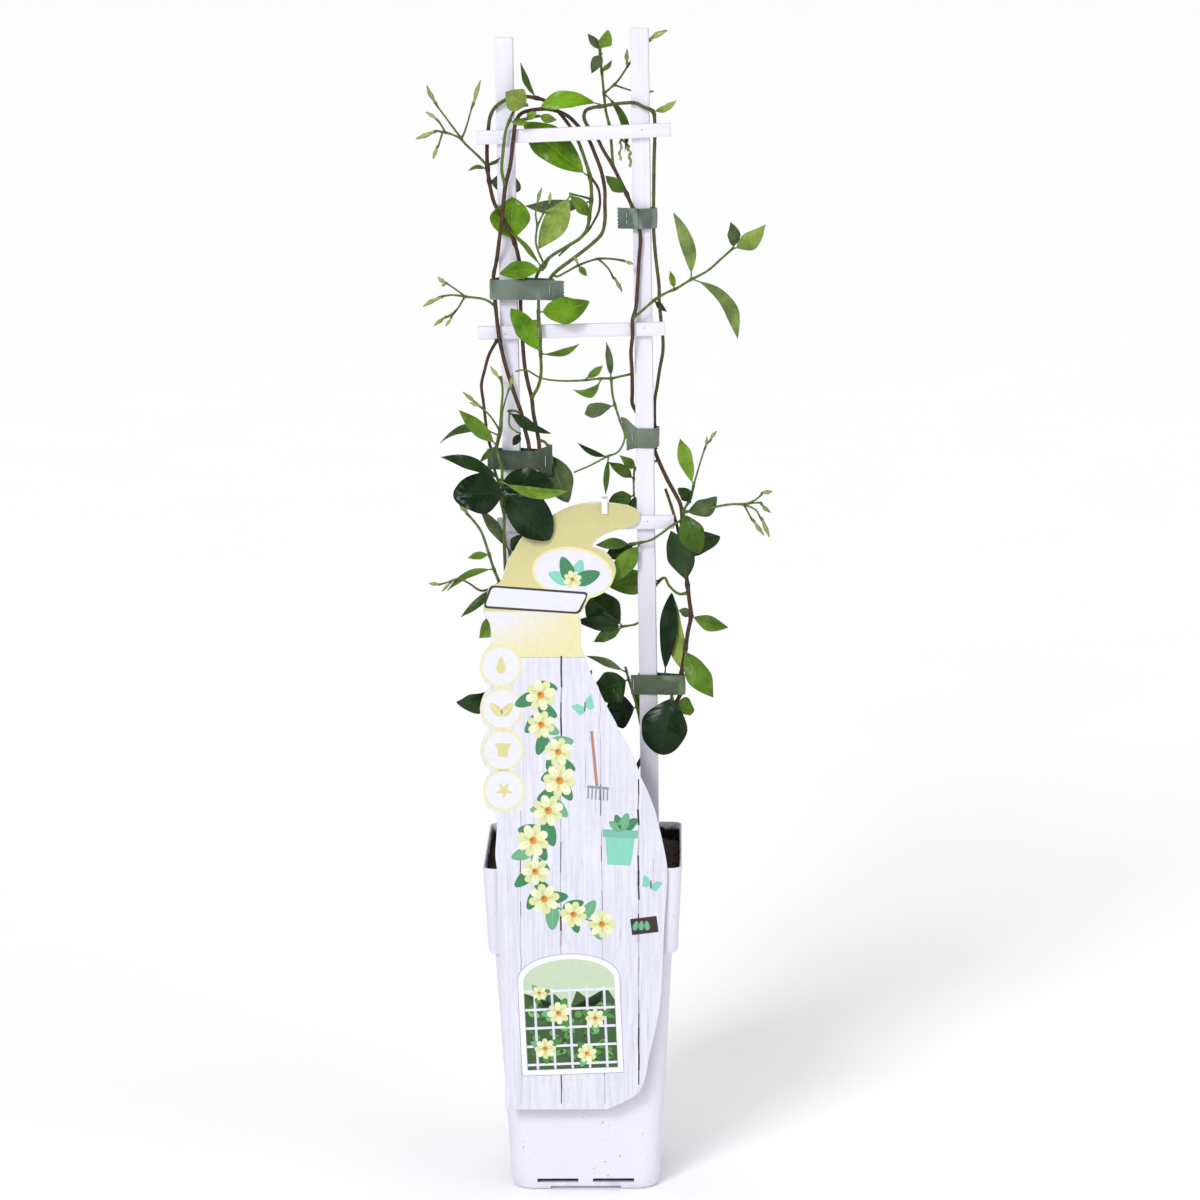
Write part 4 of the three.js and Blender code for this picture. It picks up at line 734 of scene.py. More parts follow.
def grow_leaf(form, leaf, tone, draw):
    """A thin blade with a folded midrib, rounded halves, waved edges and a stalk."""
    root, tip = (np.array(end, float) * MM for end in (leaf.base, leaf.tip))
    along = tip - root
    length = np.linalg.norm(along)
    axis = along / length
    front = np.array([0.0, -1.0, 0.0])
    face = Vector(unit(front - axis * front.dot(axis)))
    turned = Matrix.Rotation(math.radians(leaf.turn), 3, Vector(axis))
    half_width = leaf.width * MM / 2
    slender = 2 * half_width / length
    look = {
        "fold": draw.uniform(0.16, 0.42), "twist": draw.uniform(-24, 24), "wide": draw.uniform(0.4, 0.5),
        "point": BROAD_POINT if slender > BROAD_LEAF else SLENDER_POINT, "wave": draw.uniform(0.07, 0.16),
        "droop": draw.uniform(0.02, 0.08), "uneven": draw.uniform(-0.12, 0.12),
    }
    look.update(leaf.look)
    phase, waves = draw.uniform(0, 2 * math.pi), draw.uniform(8, 13)

    def midrib(t):
        hump = 4 * t * (1 - t)
        over = np.array(turned @ face)
        return root + along * t + (over * leaf.arch + np.cross(axis, over) * leaf.bow) * hump * MM

    def blade(t, u):
        """The blade's place at t along it and u across it, from -1 to 1."""
        share = blade_outline(max(t - STALK_SHARE, 0) / (1 - STALK_SHARE), look["wide"], look["point"])
        half = max(share * half_width, LEAF_LEAST_HALF)
        curl = Matrix.Rotation(math.radians(look["twist"] * (t - 0.35)), 3, Vector(axis))
        over = np.array(curl @ turned @ face)
        sign = 1 if u > 0 else -1
        wave = look["wave"] * math.sin(waves * t + phase + (1.9 if u > 0 else 0))
        ripple = EDGE_RIPPLE * math.sin(1.3 * waves * t + phase + (2.4 if u > 0 else 0))
        lift = look["fold"] * abs(u) + (wave - LEAF_SAG) * u * u
        out = u * half * (1 + look["uneven"] * sign + ripple * u * u)
        droop = look["droop"] * length * t**3.5
        return midrib(t) + np.cross(axis, over) * out + over * (lift * half - droop)

    rows = [STALK_SHARE + (1 - STALK_SHARE) * (1 - math.cos(math.pi * i / (LEAF_ROWS - 1))) / 2
            for i in range(LEAF_ROWS)]
    across = [math.sin(math.pi / 2 * (2 * i / (LEAF_COLUMNS - 1) - 1)) for i in range(LEAF_COLUMNS)]
    middle = np.array([blade(t, u) for t in rows for u in across])
    places = np.array([(u, t, slender) for t in rows for u in across])
    thick = np.array(turned @ face) * LEAF_GAUGE / 2
    closed_sheet(form, middle + thick, middle - thick, LEAF_ROWS, LEAF_COLUMNS, (FACE, BACK, FACE),
                 tint=tone, place=places)
    stalk = np.array([midrib(t) for t in np.linspace(-0.01, STALK_SHARE + STALK_OVERLAP, len(STALK_RADII))])
    skin = np.array([*np.array(tone[:3]) * 0.6 + 0.04, 0.3])
    tube(form, stalk, STALK_RADII, 8, tint=skin, finish=BARK)


# share of a bud's length, and of its half girth: the calyx, the swelling tube and the long tip
BUD_PROFILE = [(0, 0.42), (0.06, 0.7), (0.16, 0.78), (0.24, 0.62), (0.36, 0.72), (0.5, 1.0), (0.62, 0.96),
               (0.8, 0.6), (0.93, 0.34), (1.0, 0.12)]
BUD_FULLNESS = 0.41
CALYX_SHARE = 0.25
STEM_SIDES = BUD_SIDES = 10


def grow_bud(form, bud, draw):
    """A calyx, a swelling tube and a long twisted tip."""
    base, tip = (np.array(end, float) * MM for end in (bud.base, bud.tip))
    reach = tip - base
    bend = np.cross(unit(reach), [0, 1, 0]) * draw.uniform(-0.06, 0.06) * np.linalg.norm(reach)
    centres = np.array([base + reach * t + bend * 4 * t * (1 - t) for t, _ in BUD_PROFILE])
    girth = bud.girth * MM * BUD_FULLNESS
    across = unit(np.cross(reach, [0.3, 0.9, 0.2]))
    rings, places = [], []
    for centre, along, (t, share) in zip(centres, directions(centres), BUD_PROFILE):
        across = unit(across - along * across.dot(along))
        up = np.cross(along, across)
        ring = []
        for k, turn in enumerate(around(BUD_SIDES)):
            angle = turn + 1.6 * t
            ridge = 1 + (0.16 if k % 2 else -0.1) * (t > CALYX_SHARE)
            ring.append(centre + girth * share * ridge * (across * math.cos(angle) + up * math.sin(angle)))
            places.append((k / BUD_SIDES, t, 0))
        rings.append(np.array(ring))
    lofted(form, rings, tint=(1, 1, 1, draw.uniform(0, 1)), place=np.array(places), finish=BUD)


def grow_buds(form, bud, draw):
    """One bud, or a hanging string of small ones in its place."""
    if bud.count == 1:
        grow_bud(form, bud, draw)
        return
    base, tip = np.array(bud.base, float), np.array(bud.tip, float)
    reach = tip - base
    stalk = np.array([base + reach * t for t in np.linspace(0, 0.85, 4)]) * MM
    tube(form, stalk, np.full(4, 0.25 * MM), 6, tint=STEM_GREEN, finish=BARK)
    for k in range(bud.count):
        start = base + reach * 0.75 * k / (bud.count - 1)
        side = (1 if k % 2 else -1) * bud.girth * 0.35
        grow_bud(form, Bud(start, start + reach * 0.25 + [side, 0, 0], bud.girth * 0.8), draw)


def grow_stem(form, stem, tones, joints, draw):
    """A stem that swells at its leaf joints; tones gives its colour at shares of its length."""
    places, marks = route(np.array(stem.points, float) * MM, 1.6 * MM)
    share = marks / marks[-1]
    radii = (stem.root_radius + (stem.tip_radius - stem.root_radius) * share) * MM
    joint = np.zeros(len(places))
    for spot in joints:
        gaps = np.linalg.norm(places - np.array(spot) * MM, axis=1)
        joint = np.maximum(joint, np.exp(-(gaps / (1.7 * MM))**2))
    radii = radii * (1 + 0.38 * joint) * (1 + 0.03 * draw.standard_normal(len(radii)))
    stops, colours = zip(*tones)
    tints = np.array([np.interp(share, stops, channel) for channel in zip(*colours)]).T
    tints[:, :3] *= (1 - 0.35 * joint)[:, None]
    tube(form, places, radii, STEM_SIDES, tint=np.repeat(tints, STEM_SIDES, axis=0), finish=BARK)


# ---- pot and soil ----
GAP = 0.3 * MM
# width, corner radius and height in millimetres of the rings round the pot, from the ground up
POT_OUTSIDE = [
    (84, 12, 0), (87.4, 12.5, 0.7), (89.4, 13, 2.4), (91, 13, 8), (96.2, 12, 55), (101.6, 11, 102),
    (107, 10, 151), (110.6, 9, 151.2), (113.4, 9, 151.9), (114.6, 9, 154), (116.2, 8.4, 172),
    (118.2, 7.7, 190), (119.5, 7.1, 203), (120, 7, 204.4), (119.7, 7, 205.2), (119, 6.9, 205.5),
]
POT_INSIDE = [
    (83.2, 10, 4.2), (88.2, 11, 10), (104.2, 9, 152.4), (111.8, 8, 156.4), (116.8, 6, 204.2),
    (118.1, 6.2, 206),
]
CORNER_STEPS = 9
# only the collar, above this height in millimetres, has mould lines
SEAM_START = 156
BASE_WIDTH = 91 * MM
POT_FLOOR = 4.2 * MM
FOOT_HEIGHT = 2.2 * MM
FOOT_SIZE = 24 * MM
# radius and height of the rings of the pad under the pot
PAD_RINGS = [(8.6 * MM, 0), (9 * MM, 0.4 * MM), (9 * MM, 3 * MM)]
PAD_SIDES = 40
DRAIN = {"length": 25 * MM, "height": 2.4 * MM, "middle": 17 * MM, "bottom": 4.8 * MM, "depth": 5 * MM}
SOIL_LEVEL = 197 * MM
SOIL_WIDTH = 115.4 * MM
SOIL_CELLS = 90
# how far the compost's corners reach, in half widths, and how far its top sinks towards its edge
SOIL_CORNER = 1.25
SOIL_SAG = 1.6 * MM
LUMP_SIZE = 7 * MM
# height in millimetres, and share of the top width, of the soil's sides below its top
SOIL_SIDES = [(4.7, 0.70), (11, 0.745), (150, 0.885), (157, 0.96)]


def square_ring(width, radius, height, seam=0.0):
    """A level ring round the pot; seam is the depth of the mould lines beside its corners."""
    ring = np.array([(x, y, height) for x, y in rounded_rectangle(width, width, radius, CORNER_STEPS)])
    for first in range(0, len(ring), CORNER_STEPS + 1):
        for index in (first, first + CORNER_STEPS):
            x, y, _ = ring[index]
            axis = 0 if abs(x) > abs(y) else 1
            ring[index, axis] -= math.copysign(seam, ring[index, axis])
    return ring


def square_ring(width, radius, height, seam=0.0):
    """A level ring round the pot; seam is the depth of the mould lines beside its corners."""
    steps = 9
    ring = []
    for x, y in rounded_rectangle(width, width, radius, steps):
        ring.append((x, y, height))
    if seam:
        for corner in range(4):
            for index in (corner * (steps + 1), corner * (steps + 1) + steps):
                x, y, z = ring[index]
                if abs(x) > abs(y):
                    x -= math.copysign(seam, x)
                else:
                    y -= math.copysign(seam, y)
                ring[index] = (x, y, z)
    return np.array(ring)


def pot_piece(sizes, materials):
    """The shell of the pot, with its feet and its pad, and two drain slots low in each wall."""
    outside, inside, pad = Form(), Form(), Form()
    lofted(outside, [square_ring(w * MM, r * MM, z * MM, sizes.seam_depth if z > SEAM_START else 0)
                     for w, r, z in POT_OUTSIDE])
    lofted(inside, [square_ring(w * MM, r * MM, z * MM) for w, r, z in POT_INSIDE])
    pot = plain(outside, "pot_shell")
    cut(pot, plain(inside, "pot_inside"))
    channel = BASE_WIDTH / 2 - FOOT_SIZE
    reach = BASE_WIDTH
    cut(pot, block((-reach, -channel, -reach), (reach, channel, FOOT_HEIGHT)))
    cut(pot, block((-channel, -reach, -reach), (channel, reach, FOOT_HEIGHT)))
    turns = around(PAD_SIDES)
    lofted(pad, [np.column_stack([r * np.cos(turns), r * np.sin(turns), np.full(PAD_SIDES, z)])
                 for r, z in PAD_RINGS])
    cut(pot, plain(pad, "pot_pad"), "UNION")
    wall = BASE_WIDTH / 2 - DRAIN["depth"]
    low, high = DRAIN["bottom"], DRAIN["bottom"] + DRAIN["height"]
    for middle in (-DRAIN["middle"], DRAIN["middle"]):
        left, right = middle - DRAIN["length"] / 2, middle + DRAIN["length"] / 2
        for sign in (-1, 1):
            near, far = sorted((sign * wall, sign * reach))
            cut(pot, block((left, near, low), (right, far, high)))
            cut(pot, block((near, left, low), (far, right, high)))
    pot.data.materials.clear()
    for key in ("pot", "pot_inside"):
        pot.data.materials.append(materials[key])
    for face in pot.data.polygons:
        facing_in = face.normal.xy.dot(face.center.xy) < 0 and face.center.z > POT_FLOOR
        face.material_index = int(facing_in)
    smooth_over(pot, 32)
    return finished(pot, ["pot"], "pot")


def soil_piece(sizes, material):
    """Compost with a rough top, and loose crumbs lying on it."""
    draw = np.random.default_rng(SEED)
    form = Form()

    def level(x, y, edge, lift):
        """The compost's height, lifted; edge is 0 at its middle and 1 at its sides."""
        rough = noise.fractal(Vector((x, y, 0)) / LUMP_SIZE, 0.9, 2.3, 5)
        return SOIL_LEVEL + lift - SOIL_SAG * edge**4 + rough * sizes.roughness

    line = np.linspace(-1, 1, SOIL_CELLS)
    top = []
    for v in line:
        for u in line:
            pull = SOIL_WIDTH / 2 * SOIL_CORNER / max(math.hypot(u, v), SOIL_CORNER)
            x, y = u * pull, v * pull
            height = level(x, y, max(abs(u), abs(v)), 0.8 * MM)
            top.append((x, y, min(height, SOIL_LEVEL + 2.5 * MM)))
    top = np.array(top)
    form.add(top, grid(SOIL_CELLS, SOIL_CELLS))
    edge = edge_of(SOIL_CELLS, SOIL_CELLS)
    sides = [top[edge] * [share, share, 0] + [0, 0, z * MM] for z, share in SOIL_SIDES]
    bottom = tuple(range(len(edge)))[::-1]
    form.add(np.vstack(sides), grid(len(sides), len(edge), closed=True) + [bottom])
    last = list(range(form.count() - len(edge), form.count()))
    for (a, b), (c, d) in zip(neighbours(edge), neighbours(last)):
        form.join([c, d, b, a])
    for _ in range(sizes.crumbs):
        x, y = draw.uniform(-0.5, 0.5, 2) * SOIL_WIDTH * 0.98
        size = draw.gamma(2.0, 0.45) * MM + 0.3 * MM
        out = max(abs(x), abs(y))
        if size <= 2.2 * MM and out <= SOIL_WIDTH / 2 - size:
            spot = np.array([x, y, level(x, y, 2 * out / SOIL_WIDTH, 0.6 * MM)])
            crumb(form, spot, size, draw)
    return form.build("compost", [material], ["soil"], "soil", smooth=50)


# the six corners of a crumb, and its faces
CRUMB = np.array([(1, 0, 0), (0, 1, 0), (-1, 0, 0), (0, -1, 0), (0, 0, 1), (0, 0, -1)], float)
CRUMB_FACES = [(0, 1, 4), (1, 2, 4), (2, 3, 4), (3, 0, 4), (1, 0, 5), (2, 1, 5), (3, 2, 5), (0, 3, 5)]


def crumb(form, centre, size, draw):
    lengths = draw.uniform(0.45, 1.0, 3) * size
    turn = np.array(Matrix.Rotation(draw.uniform(0, 6.28), 3, Vector(unit(draw.standard_normal(3)))))
    corners = (CRUMB * lengths * draw.uniform(0.75, 1.1, (6, 1))) @ turn.T + centre
    shade = draw.uniform(0, 1)
    form.add(corners, CRUMB_FACES, tint=(shade, shade, shade, 1))


# ---- ladder ----
LADDER_YAW = math.radians(-5)
LADDER_LEAN = math.radians(-0.38)
CHAMFER = 0.45 * MM
POST = {"width": 10.6 * MM, "thickness": 6 * MM, "bottom": 95 * MM, "spacing": 80.8 * MM,
        "middle": -1.75 * MM}
POST_TOPS = {"left_post": 697.5 * MM, "right_post": 702.5 * MM}
RUNG = {"height": 8 * MM, "thickness": 4 * MM}
# left end, right end, height at the ladder's middle in millimetres, tilt in degrees
RUNGS = {
    "top_rung": (-59, 57, 640.8, 2.1),
    "middle_rung": (-60.5, 52, 523.2, 1.3),
    "bottom_rung": (-51, 56, 406.3, 1.1),
}
LEAN_HEIGHT = RUNGS["middle_rung"][2] * MM
LADDER_TURN = np.array(Matrix.Rotation(LADDER_YAW, 3, "Z") @ Matrix.Rotation(LADDER_LEAN, 3, "Y"))
# radius and depth behind the rung's face of the rings of a brad's head
BRAD_RINGS = [(0.5 * MM, 0.3 * MM), (0.5 * MM, -0.02 * MM), (0.3 * MM, -0.08 * MM)]
BRAD_SIDES = 12


def in_ladder(places):
    raised = np.array([0, 0, LEAN_HEIGHT])
    return (np.asarray(places, float) - raised) @ LADDER_TURN.T + raised


def strip_of_wood(length, width, thickness, draw):
    """Rings and grain places of a planed strip along +X, its edges slightly broken."""
    count = max(3, round(length / (6 * MM)))
    rings, places = [], []
    for stop in (0, CHAMFER, *np.linspace(0, length, count)[1:-1], length - CHAMFER, length):
        inset = CHAMFER if stop in (0, length) else 0
        wander = draw.normal(0, 0.04 * MM, 2)
        section = rounded_rectangle(width - inset, thickness - inset, CHAMFER, 2)
        rings.append(np.array([(stop, y + wander[0], z + wander[1]) for y, z in section]))
        places += [(stop, y, z) for y, z in section]
    return rings, np.array(places)


def post_piece(name, paint):
    draw = np.random.default_rng(SEED + len(name))
    side = -1 if name == "left_post" else 1
    length = POST_TOPS[name] - POST["bottom"]
    rings, places = strip_of_wood(length, POST["width"], POST["thickness"], draw)
    middle = POST["middle"] + side * POST["spacing"] / 2
    upright = [np.column_stack([middle - r[:, 1], r[:, 2], POST["bottom"] + r[:, 0]]) for r in rings]
    form = Form()
    lofted(form, [in_ladder(ring)[::-1] for ring in upright], place=places + [0, 0, side * 0.4])
    return form.build(name + "_wood", [paint], [name], "ladder")


def rung_piece(name, paint):
    draw = np.random.default_rng(SEED + len(name) * 3)
    left, right, height, tilt = RUNGS[name]
    rings, places = strip_of_wood((right - left) * MM, RUNG["height"], RUNG["thickness"], draw)
    front = -POST["thickness"] / 2 - GAP - RUNG["thickness"] / 2
    sloped = np.array(Matrix.Rotation(-math.radians(tilt), 3, "Y"))
    laid = [np.column_stack([left * MM + r[:, 0], r[:, 2], r[:, 1]]) @ sloped.T for r in rings]
    form = Form()
    lofted(form, [in_ladder(ring + [0, front, height * MM]) for ring in laid],
           place=places + [0, 0, height * 0.01])
    return form.build(name + "_wood", [paint], [name], "ladder")


def nail_heads(rust):
    """A small brad where each rung crosses a post, a little sunk and painted over."""
    form = Form()
    front = -POST["thickness"] / 2 - GAP - RUNG["thickness"]
    turns = around(BRAD_SIDES)
    for _, _, height, tilt in RUNGS.values():
        for side in (-1, 1):
            x = POST["middle"] + side * (POST["spacing"] / 2 + 1.4 * MM)
            z = height * MM + x * math.tan(math.radians(tilt)) + side * 0.8 * MM
            lofted(form, [in_ladder(np.column_stack([
                x + r * np.cos(turns), np.full(BRAD_SIDES, front + depth), z + r * np.sin(turns)]))
                for r, depth in BRAD_RINGS])
    return form.build("ladder_brads", [rust], [], "ladder")


# ---- label card ----
CARD_GAUGE = 0.8 * MM
CARD_CELLS = 15
# height, left edge and right edge in millimetres, from the top lobe to the foot
CARD_ROWS = [
    (420, 6, 13), (418, -4, 28), (415, -12, 34), (411, -19, 36), (407, -25, 34), (405, -28, 30),
    (403, -31, 21), (400, -35, 13), (394, -39, 7), (392, -40, 13), (386, -44, 19), (380, -46, 21),
    (373, -49, 19), (371, -55, 18), (363, -57, 5), (358, -59, 2), (354, -58, -1), (349, -55, 0),
    (336, -55, 0), (333, -58, 1), (324, -61, 4), (315, -58, 8), (312, -55, 10), (309, -58, 11),
    (299, -61, 16), (290, -58, 21), (287, -55, 22), (284, -58, 24), (275, -61, 29), (266, -58, 33),
    (263, -55, 34), (260, -57, 35), (252, -59, 39), (242, -57, 43), (239, -52, 44), (213, -52, 50),
    (205, -51, 51), (171, -51, 49), (121, -49, 46), (92, -48, 40), (67, -48, 33), (56, -48, 14),
]
# height and depth of the card's middle
CARD_LEAN = [(56, -61), (150, -62.4), (205, -61.4), (407, -11.9), (420, -9.4)]


def card_depth(height):
    levels, depths = zip(*CARD_LEAN)
    return np.interp(height, levels, depths)


def on_card(x, z, lift=0.0):
    """The place on the card's front, in metres, for x and z in millimetres."""
    return np.array([x * MM, card_depth(z) * MM - CARD_GAUGE / 2 - lift, z * MM])


def card_edges(height):
    """The card's left and right edge, each a smooth curve through its rows."""
    edges = []
    for side in (1, 2):
        curve, _ = route([(row[side], row[0], 0) for row in CARD_ROWS[::-1]], 0.7)
        edges.append(np.interp(height, curve[:, 1], curve[:, 0]))
    return edges


def card_piece(materials):
    form = Form()
    top = CARD_ROWS[0][0]
    levels = sorted({row[0] for row in CARD_ROWS} | set(np.arange(CARD_ROWS[-1][0], top, 1.5))
                    | {top - 0.8, top - 0.3})
    places = np.array([((left + (right - left) * u) * MM, card_depth(z) * MM, z * MM)
                       for z, left, right in zip(levels, *card_edges(levels))
                       for u in np.linspace(0, 1, CARD_CELLS)])
    thick = np.array([0, CARD_GAUGE / 2, 0])
    closed_sheet(form, places - thick, places + thick, len(levels), CARD_CELLS, (0, 1, 1))
    return form.build("hanging_card", [materials["card"], materials["card_back"]], ["label_card"], "card")


CREAM = (0.62, 0.575, 0.27)
PALE_CREAM = (0.72, 0.675, 0.37)
CARD_WHITE = (0.70, 0.70, 0.81)
INK_BROWN = (0.030, 0.016, 0.013)
PLANK_LINE = (0.40, 0.38, 0.44)
MINT = (0.20, 0.56, 0.44)
LEAF_INK = (0.030, 0.20, 0.080)
LEAF_INK_PALE = (0.13, 0.36, 0.20)
BLOSSOM = ((0.76, 0.77, 0.53), (0.64, 0.67, 0.34), (0.66, 0.26, 0.02))
CLAY = (0.40, 0.20, 0.13)
STEEL = (0.24, 0.27, 0.30)
PICTURE_SKY = (0.50, 0.60, 0.44)
HEDGE = (0.030, 0.085, 0.020)
HEDGE_LIGHT = (0.05, 0.15, 0.03)
TRELLIS_LEAF = (0.05, 0.22, 0.03)
# the heights in millimetres where the card folds
FOLDS = (150, 205, 407)
INK_STEP = 0.014 * MM
INK_SINK = 0.02 * MM


def shaded(colour, share):
    """The colour made darker, or lighter with a share over 1."""
    return np.array(colour) * share


def banded(outline):
    """The outline cut at the heights where the card folds."""
    bounds = (0, *FOLDS, 1000)
    for low, high in zip(bounds, bounds[1:]):
        kept = list(outline)
        for limit, sign in ((low, 1), (high, -1)):
            trimmed = []
            for (x1, z1), (x2, z2) in neighbours(kept):
                first, second = sign * (z1 - limit), sign * (z2 - limit)
                if first >= 0:
                    trimmed.append((x1, z1))
                if first * second < 0:
                    share = first / (first - second)
                    trimmed.append((x1 + (x2 - x1) * share, limit))
            kept = trimmed
        if len(kept) > 2:
            yield kept


def turned(outline, x, z, angle=0.0, size=1.0):
    """The outline made larger, turned and moved."""
    c, s = math.cos(angle) * size, math.sin(angle) * size
    return [(x + u * c - v * s, z + u * s + v * c) for u, v in outline]


def oval(width, height, sides, skew=0.0, at=0.0):
    """Points round an oval whose middle is at x = at; skew makes its far end the fuller one."""
    return [(at + width / 2 * math.cos(a), height / 2 * math.sin(a) * (1 + skew * math.cos(a)))
            for a in around(sides)]


class Print:
    """Shapes of ink on the card: thin closed plates, each layer a hair above the one before."""

    def __init__(self):
        self.form = Form()

    def shape(self, outline, colour, layer=1, brushed=0.0):
        """A flat shape that its own middle sees all of, clockwise or not, in millimetres.

        brushed is how strongly it takes the streaks of brushed paint.
        """
        for part in banded(outline):
            area = sum(x1 * z2 - x2 * z1 for (x1, z1), (x2, z2) in neighbours(part))
            part = part if area > 0 else part[::-1]
            middle = (sum(x for x, _ in part) / len(part), sum(z for _, z in part) / len(part))
            corners = [on_card(x, z, lift) for lift in (layer * INK_STEP, -INK_SINK)
                       for x, z in (middle, *part)]
            count = len(part)
            faces = []
            for i in range(count):
                after = (i + 1) % count
                faces.append((0, 1 + i, 1 + after))
                faces.append((count + 1, count + 2 + after, count + 2 + i))
                faces.append((1 + after, 1 + i, count + 2 + i, count + 2 + after))
            self.form.add(corners, faces, tint=(*colour, 1 - brushed))

    def disc(self, x, z, width, height, colour, layer=1, angle=0.0, sides=40):
        self.shape(turned(oval(width, height, sides), x, z, angle), colour, layer)

    def line(self, x1, z1, x2, z2, width, colour, layer=1):
        side = unit(np.array([z1 - z2, x2 - x1])) * width / 2
        a, b = np.array([x1, z1]), np.array([x2, z2])
        self.shape([tuple(p) for p in (a - side, b - side, b + side, a + side)], colour, layer)

    def daisy(self, x, z, size, turn, layer=2):
        """A round blossom of eight petals, seen from the front; size is its width."""
        reach = size / 2
        petal = oval(0.88 * reach, 0.5 * reach, 14, skew=0.35, at=0.56 * reach)
        streak = oval(0.52 * reach, 0.14 * reach, 8, at=0.38 * reach)
        light, shade, heart = BLOSSOM
        for k in range(8):
            angle = turn + math.pi * k / 4
            under = k % 2
            self.shape(turned(petal, x, z, angle), shade if under else light, layer + under)
            self.shape(turned(streak, x, z, angle), shaded(shade, 0.8) if under else shade, layer + 2)
        self.disc(x, z, size * 0.24, size * 0.24, heart, layer + 3, sides=16)
        self.disc(x - size * 0.03, z + size * 0.03, size * 0.12, size * 0.12, shaded(heart, 0.55),
                  layer + 4, sides=12)

    def leaf(self, x, z, size, turn, colour, layer=1):
        blade = [(size * (0.5 - 0.5 * math.cos(a)), size * 0.23 * math.sin(a) * (1.15 + 0.3 * math.cos(a)))
                 for a in around(16)]
        self.shape(turned(blade, x, z, turn), colour, layer)
        spine = [(size * 0.06, -0.14), (size * 0.9, -0.06), (size * 0.9, 0.06), (size * 0.06, 0.14)]
        self.shape(turned(spine, x, z, turn), shaded(colour, 1.6), layer + 1)


def card_print(ink):
    """A plain garden design: planks, a badge, a bare plate, four signs, a garland and a picture."""
    art = Print()
    lobe_print(art)
    plank_print(art)
    sign_print(art)
    garland_print(art)
    tool_print(art)
    picture_print(art)
    art.form.build("card_print", [ink], [], "card", smooth=60)


def strips(low, high, step):
    """Two heights, the left edges and the right edges there, of each level strip of the card."""
    levels = list(np.arange(low, high, step))
    lefts, rights = card_edges(levels)
    return zip(levels, levels[1:], lefts, lefts[1:], rights, rights[1:])


def lobe_print(art):
    """The cream head of the card with its badge, over a bare plate with a dark edge; the cream darkens
    towards the top, a painted shadow near the peg.
    """
    for z1, z2, a1, a2, b1, b2 in strips(329, 419.5, 1.5):
        fading = z2 < 357
        shares = np.linspace(0, 1, 9 if fading else 2)
        foot, top = (a1 + 0.3, b1 - a1 - 0.6), (a2 + 0.3, b2 - a2 - 0.6)
        for u, v in zip(shares, shares[1:]):
            # painted shadow: the cream darkens by up to 12 per cent towards the card's top, near the peg
            shade = shaded(CREAM, 1 - 0.12 * min(max((z1 - 355) / 60, 0), 1))
            if fading:
                fade = min((z1 - 329) / 24, 1) * (1 - u)
                shade = shaded(PALE_CREAM, 1 - fade) + shaded(CARD_WHITE, fade)
            art.shape([(foot[0] + foot[1] * u, z1), (foot[0] + foot[1] * v, z1),
                       (top[0] + top[1] * v, z2 + 0.02), (top[0] + top[1] * u, z2 + 0.02)], shade)
    slant = math.radians(-8)
    art.disc(-5.0, 378.3, 49, 30.5, PALE_CREAM, 2, slant, 60)
    art.disc(-5.0, 378.3, 46, 27.5, CARD_WHITE, 3, slant, 60)
    for k, turn in enumerate((2.75, 1.95, 1.2, 0.35)):
        art.leaf(-6.5 + k, 373, 14 + 2 * (k % 2), turn, LEAF_INK if k % 2 else MINT, 4 + 2 * (k % 2))
    art.daisy(-5, 374.5, 11, 0.3, 8)
    corners = [(4.8, 367.1), (-54.7, 371.5), (-58.9, 358.1), (-0.7, 354.3)]
    art.shape(softened(corners, 0, 3), INK_BROWN, 4)
    art.shape(softened(corners, 1.3, 2.2), CARD_WHITE, 5)


def softened(corners, inset, radius):
    """The four-sided outline drawn inwards by inset, its corners made round."""
    middle = sum(np.array(corner) for corner in corners) / 4
    pulled = [np.array(c) - np.sign(np.array(c) - middle) * inset for c in corners]
    outline = []
    for k, corner in enumerate(pulled):
        before, after = unit(pulled[k - 1] - corner), unit(pulled[(k + 1) % 4] - corner)
        for share in np.linspace(0, 1, 6):
            outline.append(tuple(corner + radius * (before * (1 - share)**2 + after * share**2)))
    return outline


def plank_print(art):
    """White planks with their gaps, knots and grain."""
    for z1, z2, a1, a2, b1, b2 in strips(56.3, 330.5, 3.0):
        art.shape([(a1 + 0.3, z1), (b1 - 0.3, z1), (b2 - 0.3, z2 + 0.01), (a2 + 0.3, z2 + 0.01)],
                  CARD_WHITE, brushed=1.0)
    draw = np.random.default_rng(SEED)
    gaps = [((-36.5, 240), (-38.5, 60), 0.5), ((-12, 330), (-14, 60), 0.9),
            ((11, 308), (12.5, 60), 0.5), ((34, 258), (33, 72), 1.0)]
    for (x1, z1), (x2, z2), width in gaps:
        steps = round((z1 - z2) / 9)
        for i in range(steps):
            spots = []
            for k in (i, i + 1.03):
                share = k / steps
                spots += [x1 + (x2 - x1) * share + 0.6 * noise.noise(Vector((x1, k * 0.7, 0))),
                          z1 + (z2 - z1) * share]
            shade = INK_BROWN if draw.uniform() < 0.6 * width else PLANK_LINE
            art.line(*spots, width * draw.uniform(0.5, 1.3), shade, 2)
    for _ in range(230):
        z = draw.uniform(66, 322)
        left, right = card_edges([z])
        x = draw.uniform(left[0] + 3, right[0] - 3)
        length = min(draw.uniform(5, 26), z - 59)
        art.line(x, z, x + draw.normal(0, 0.3), z - length, draw.uniform(0.1, 0.4),
                 shaded(CARD_WHITE, draw.uniform(0.68, 0.92)), 2)


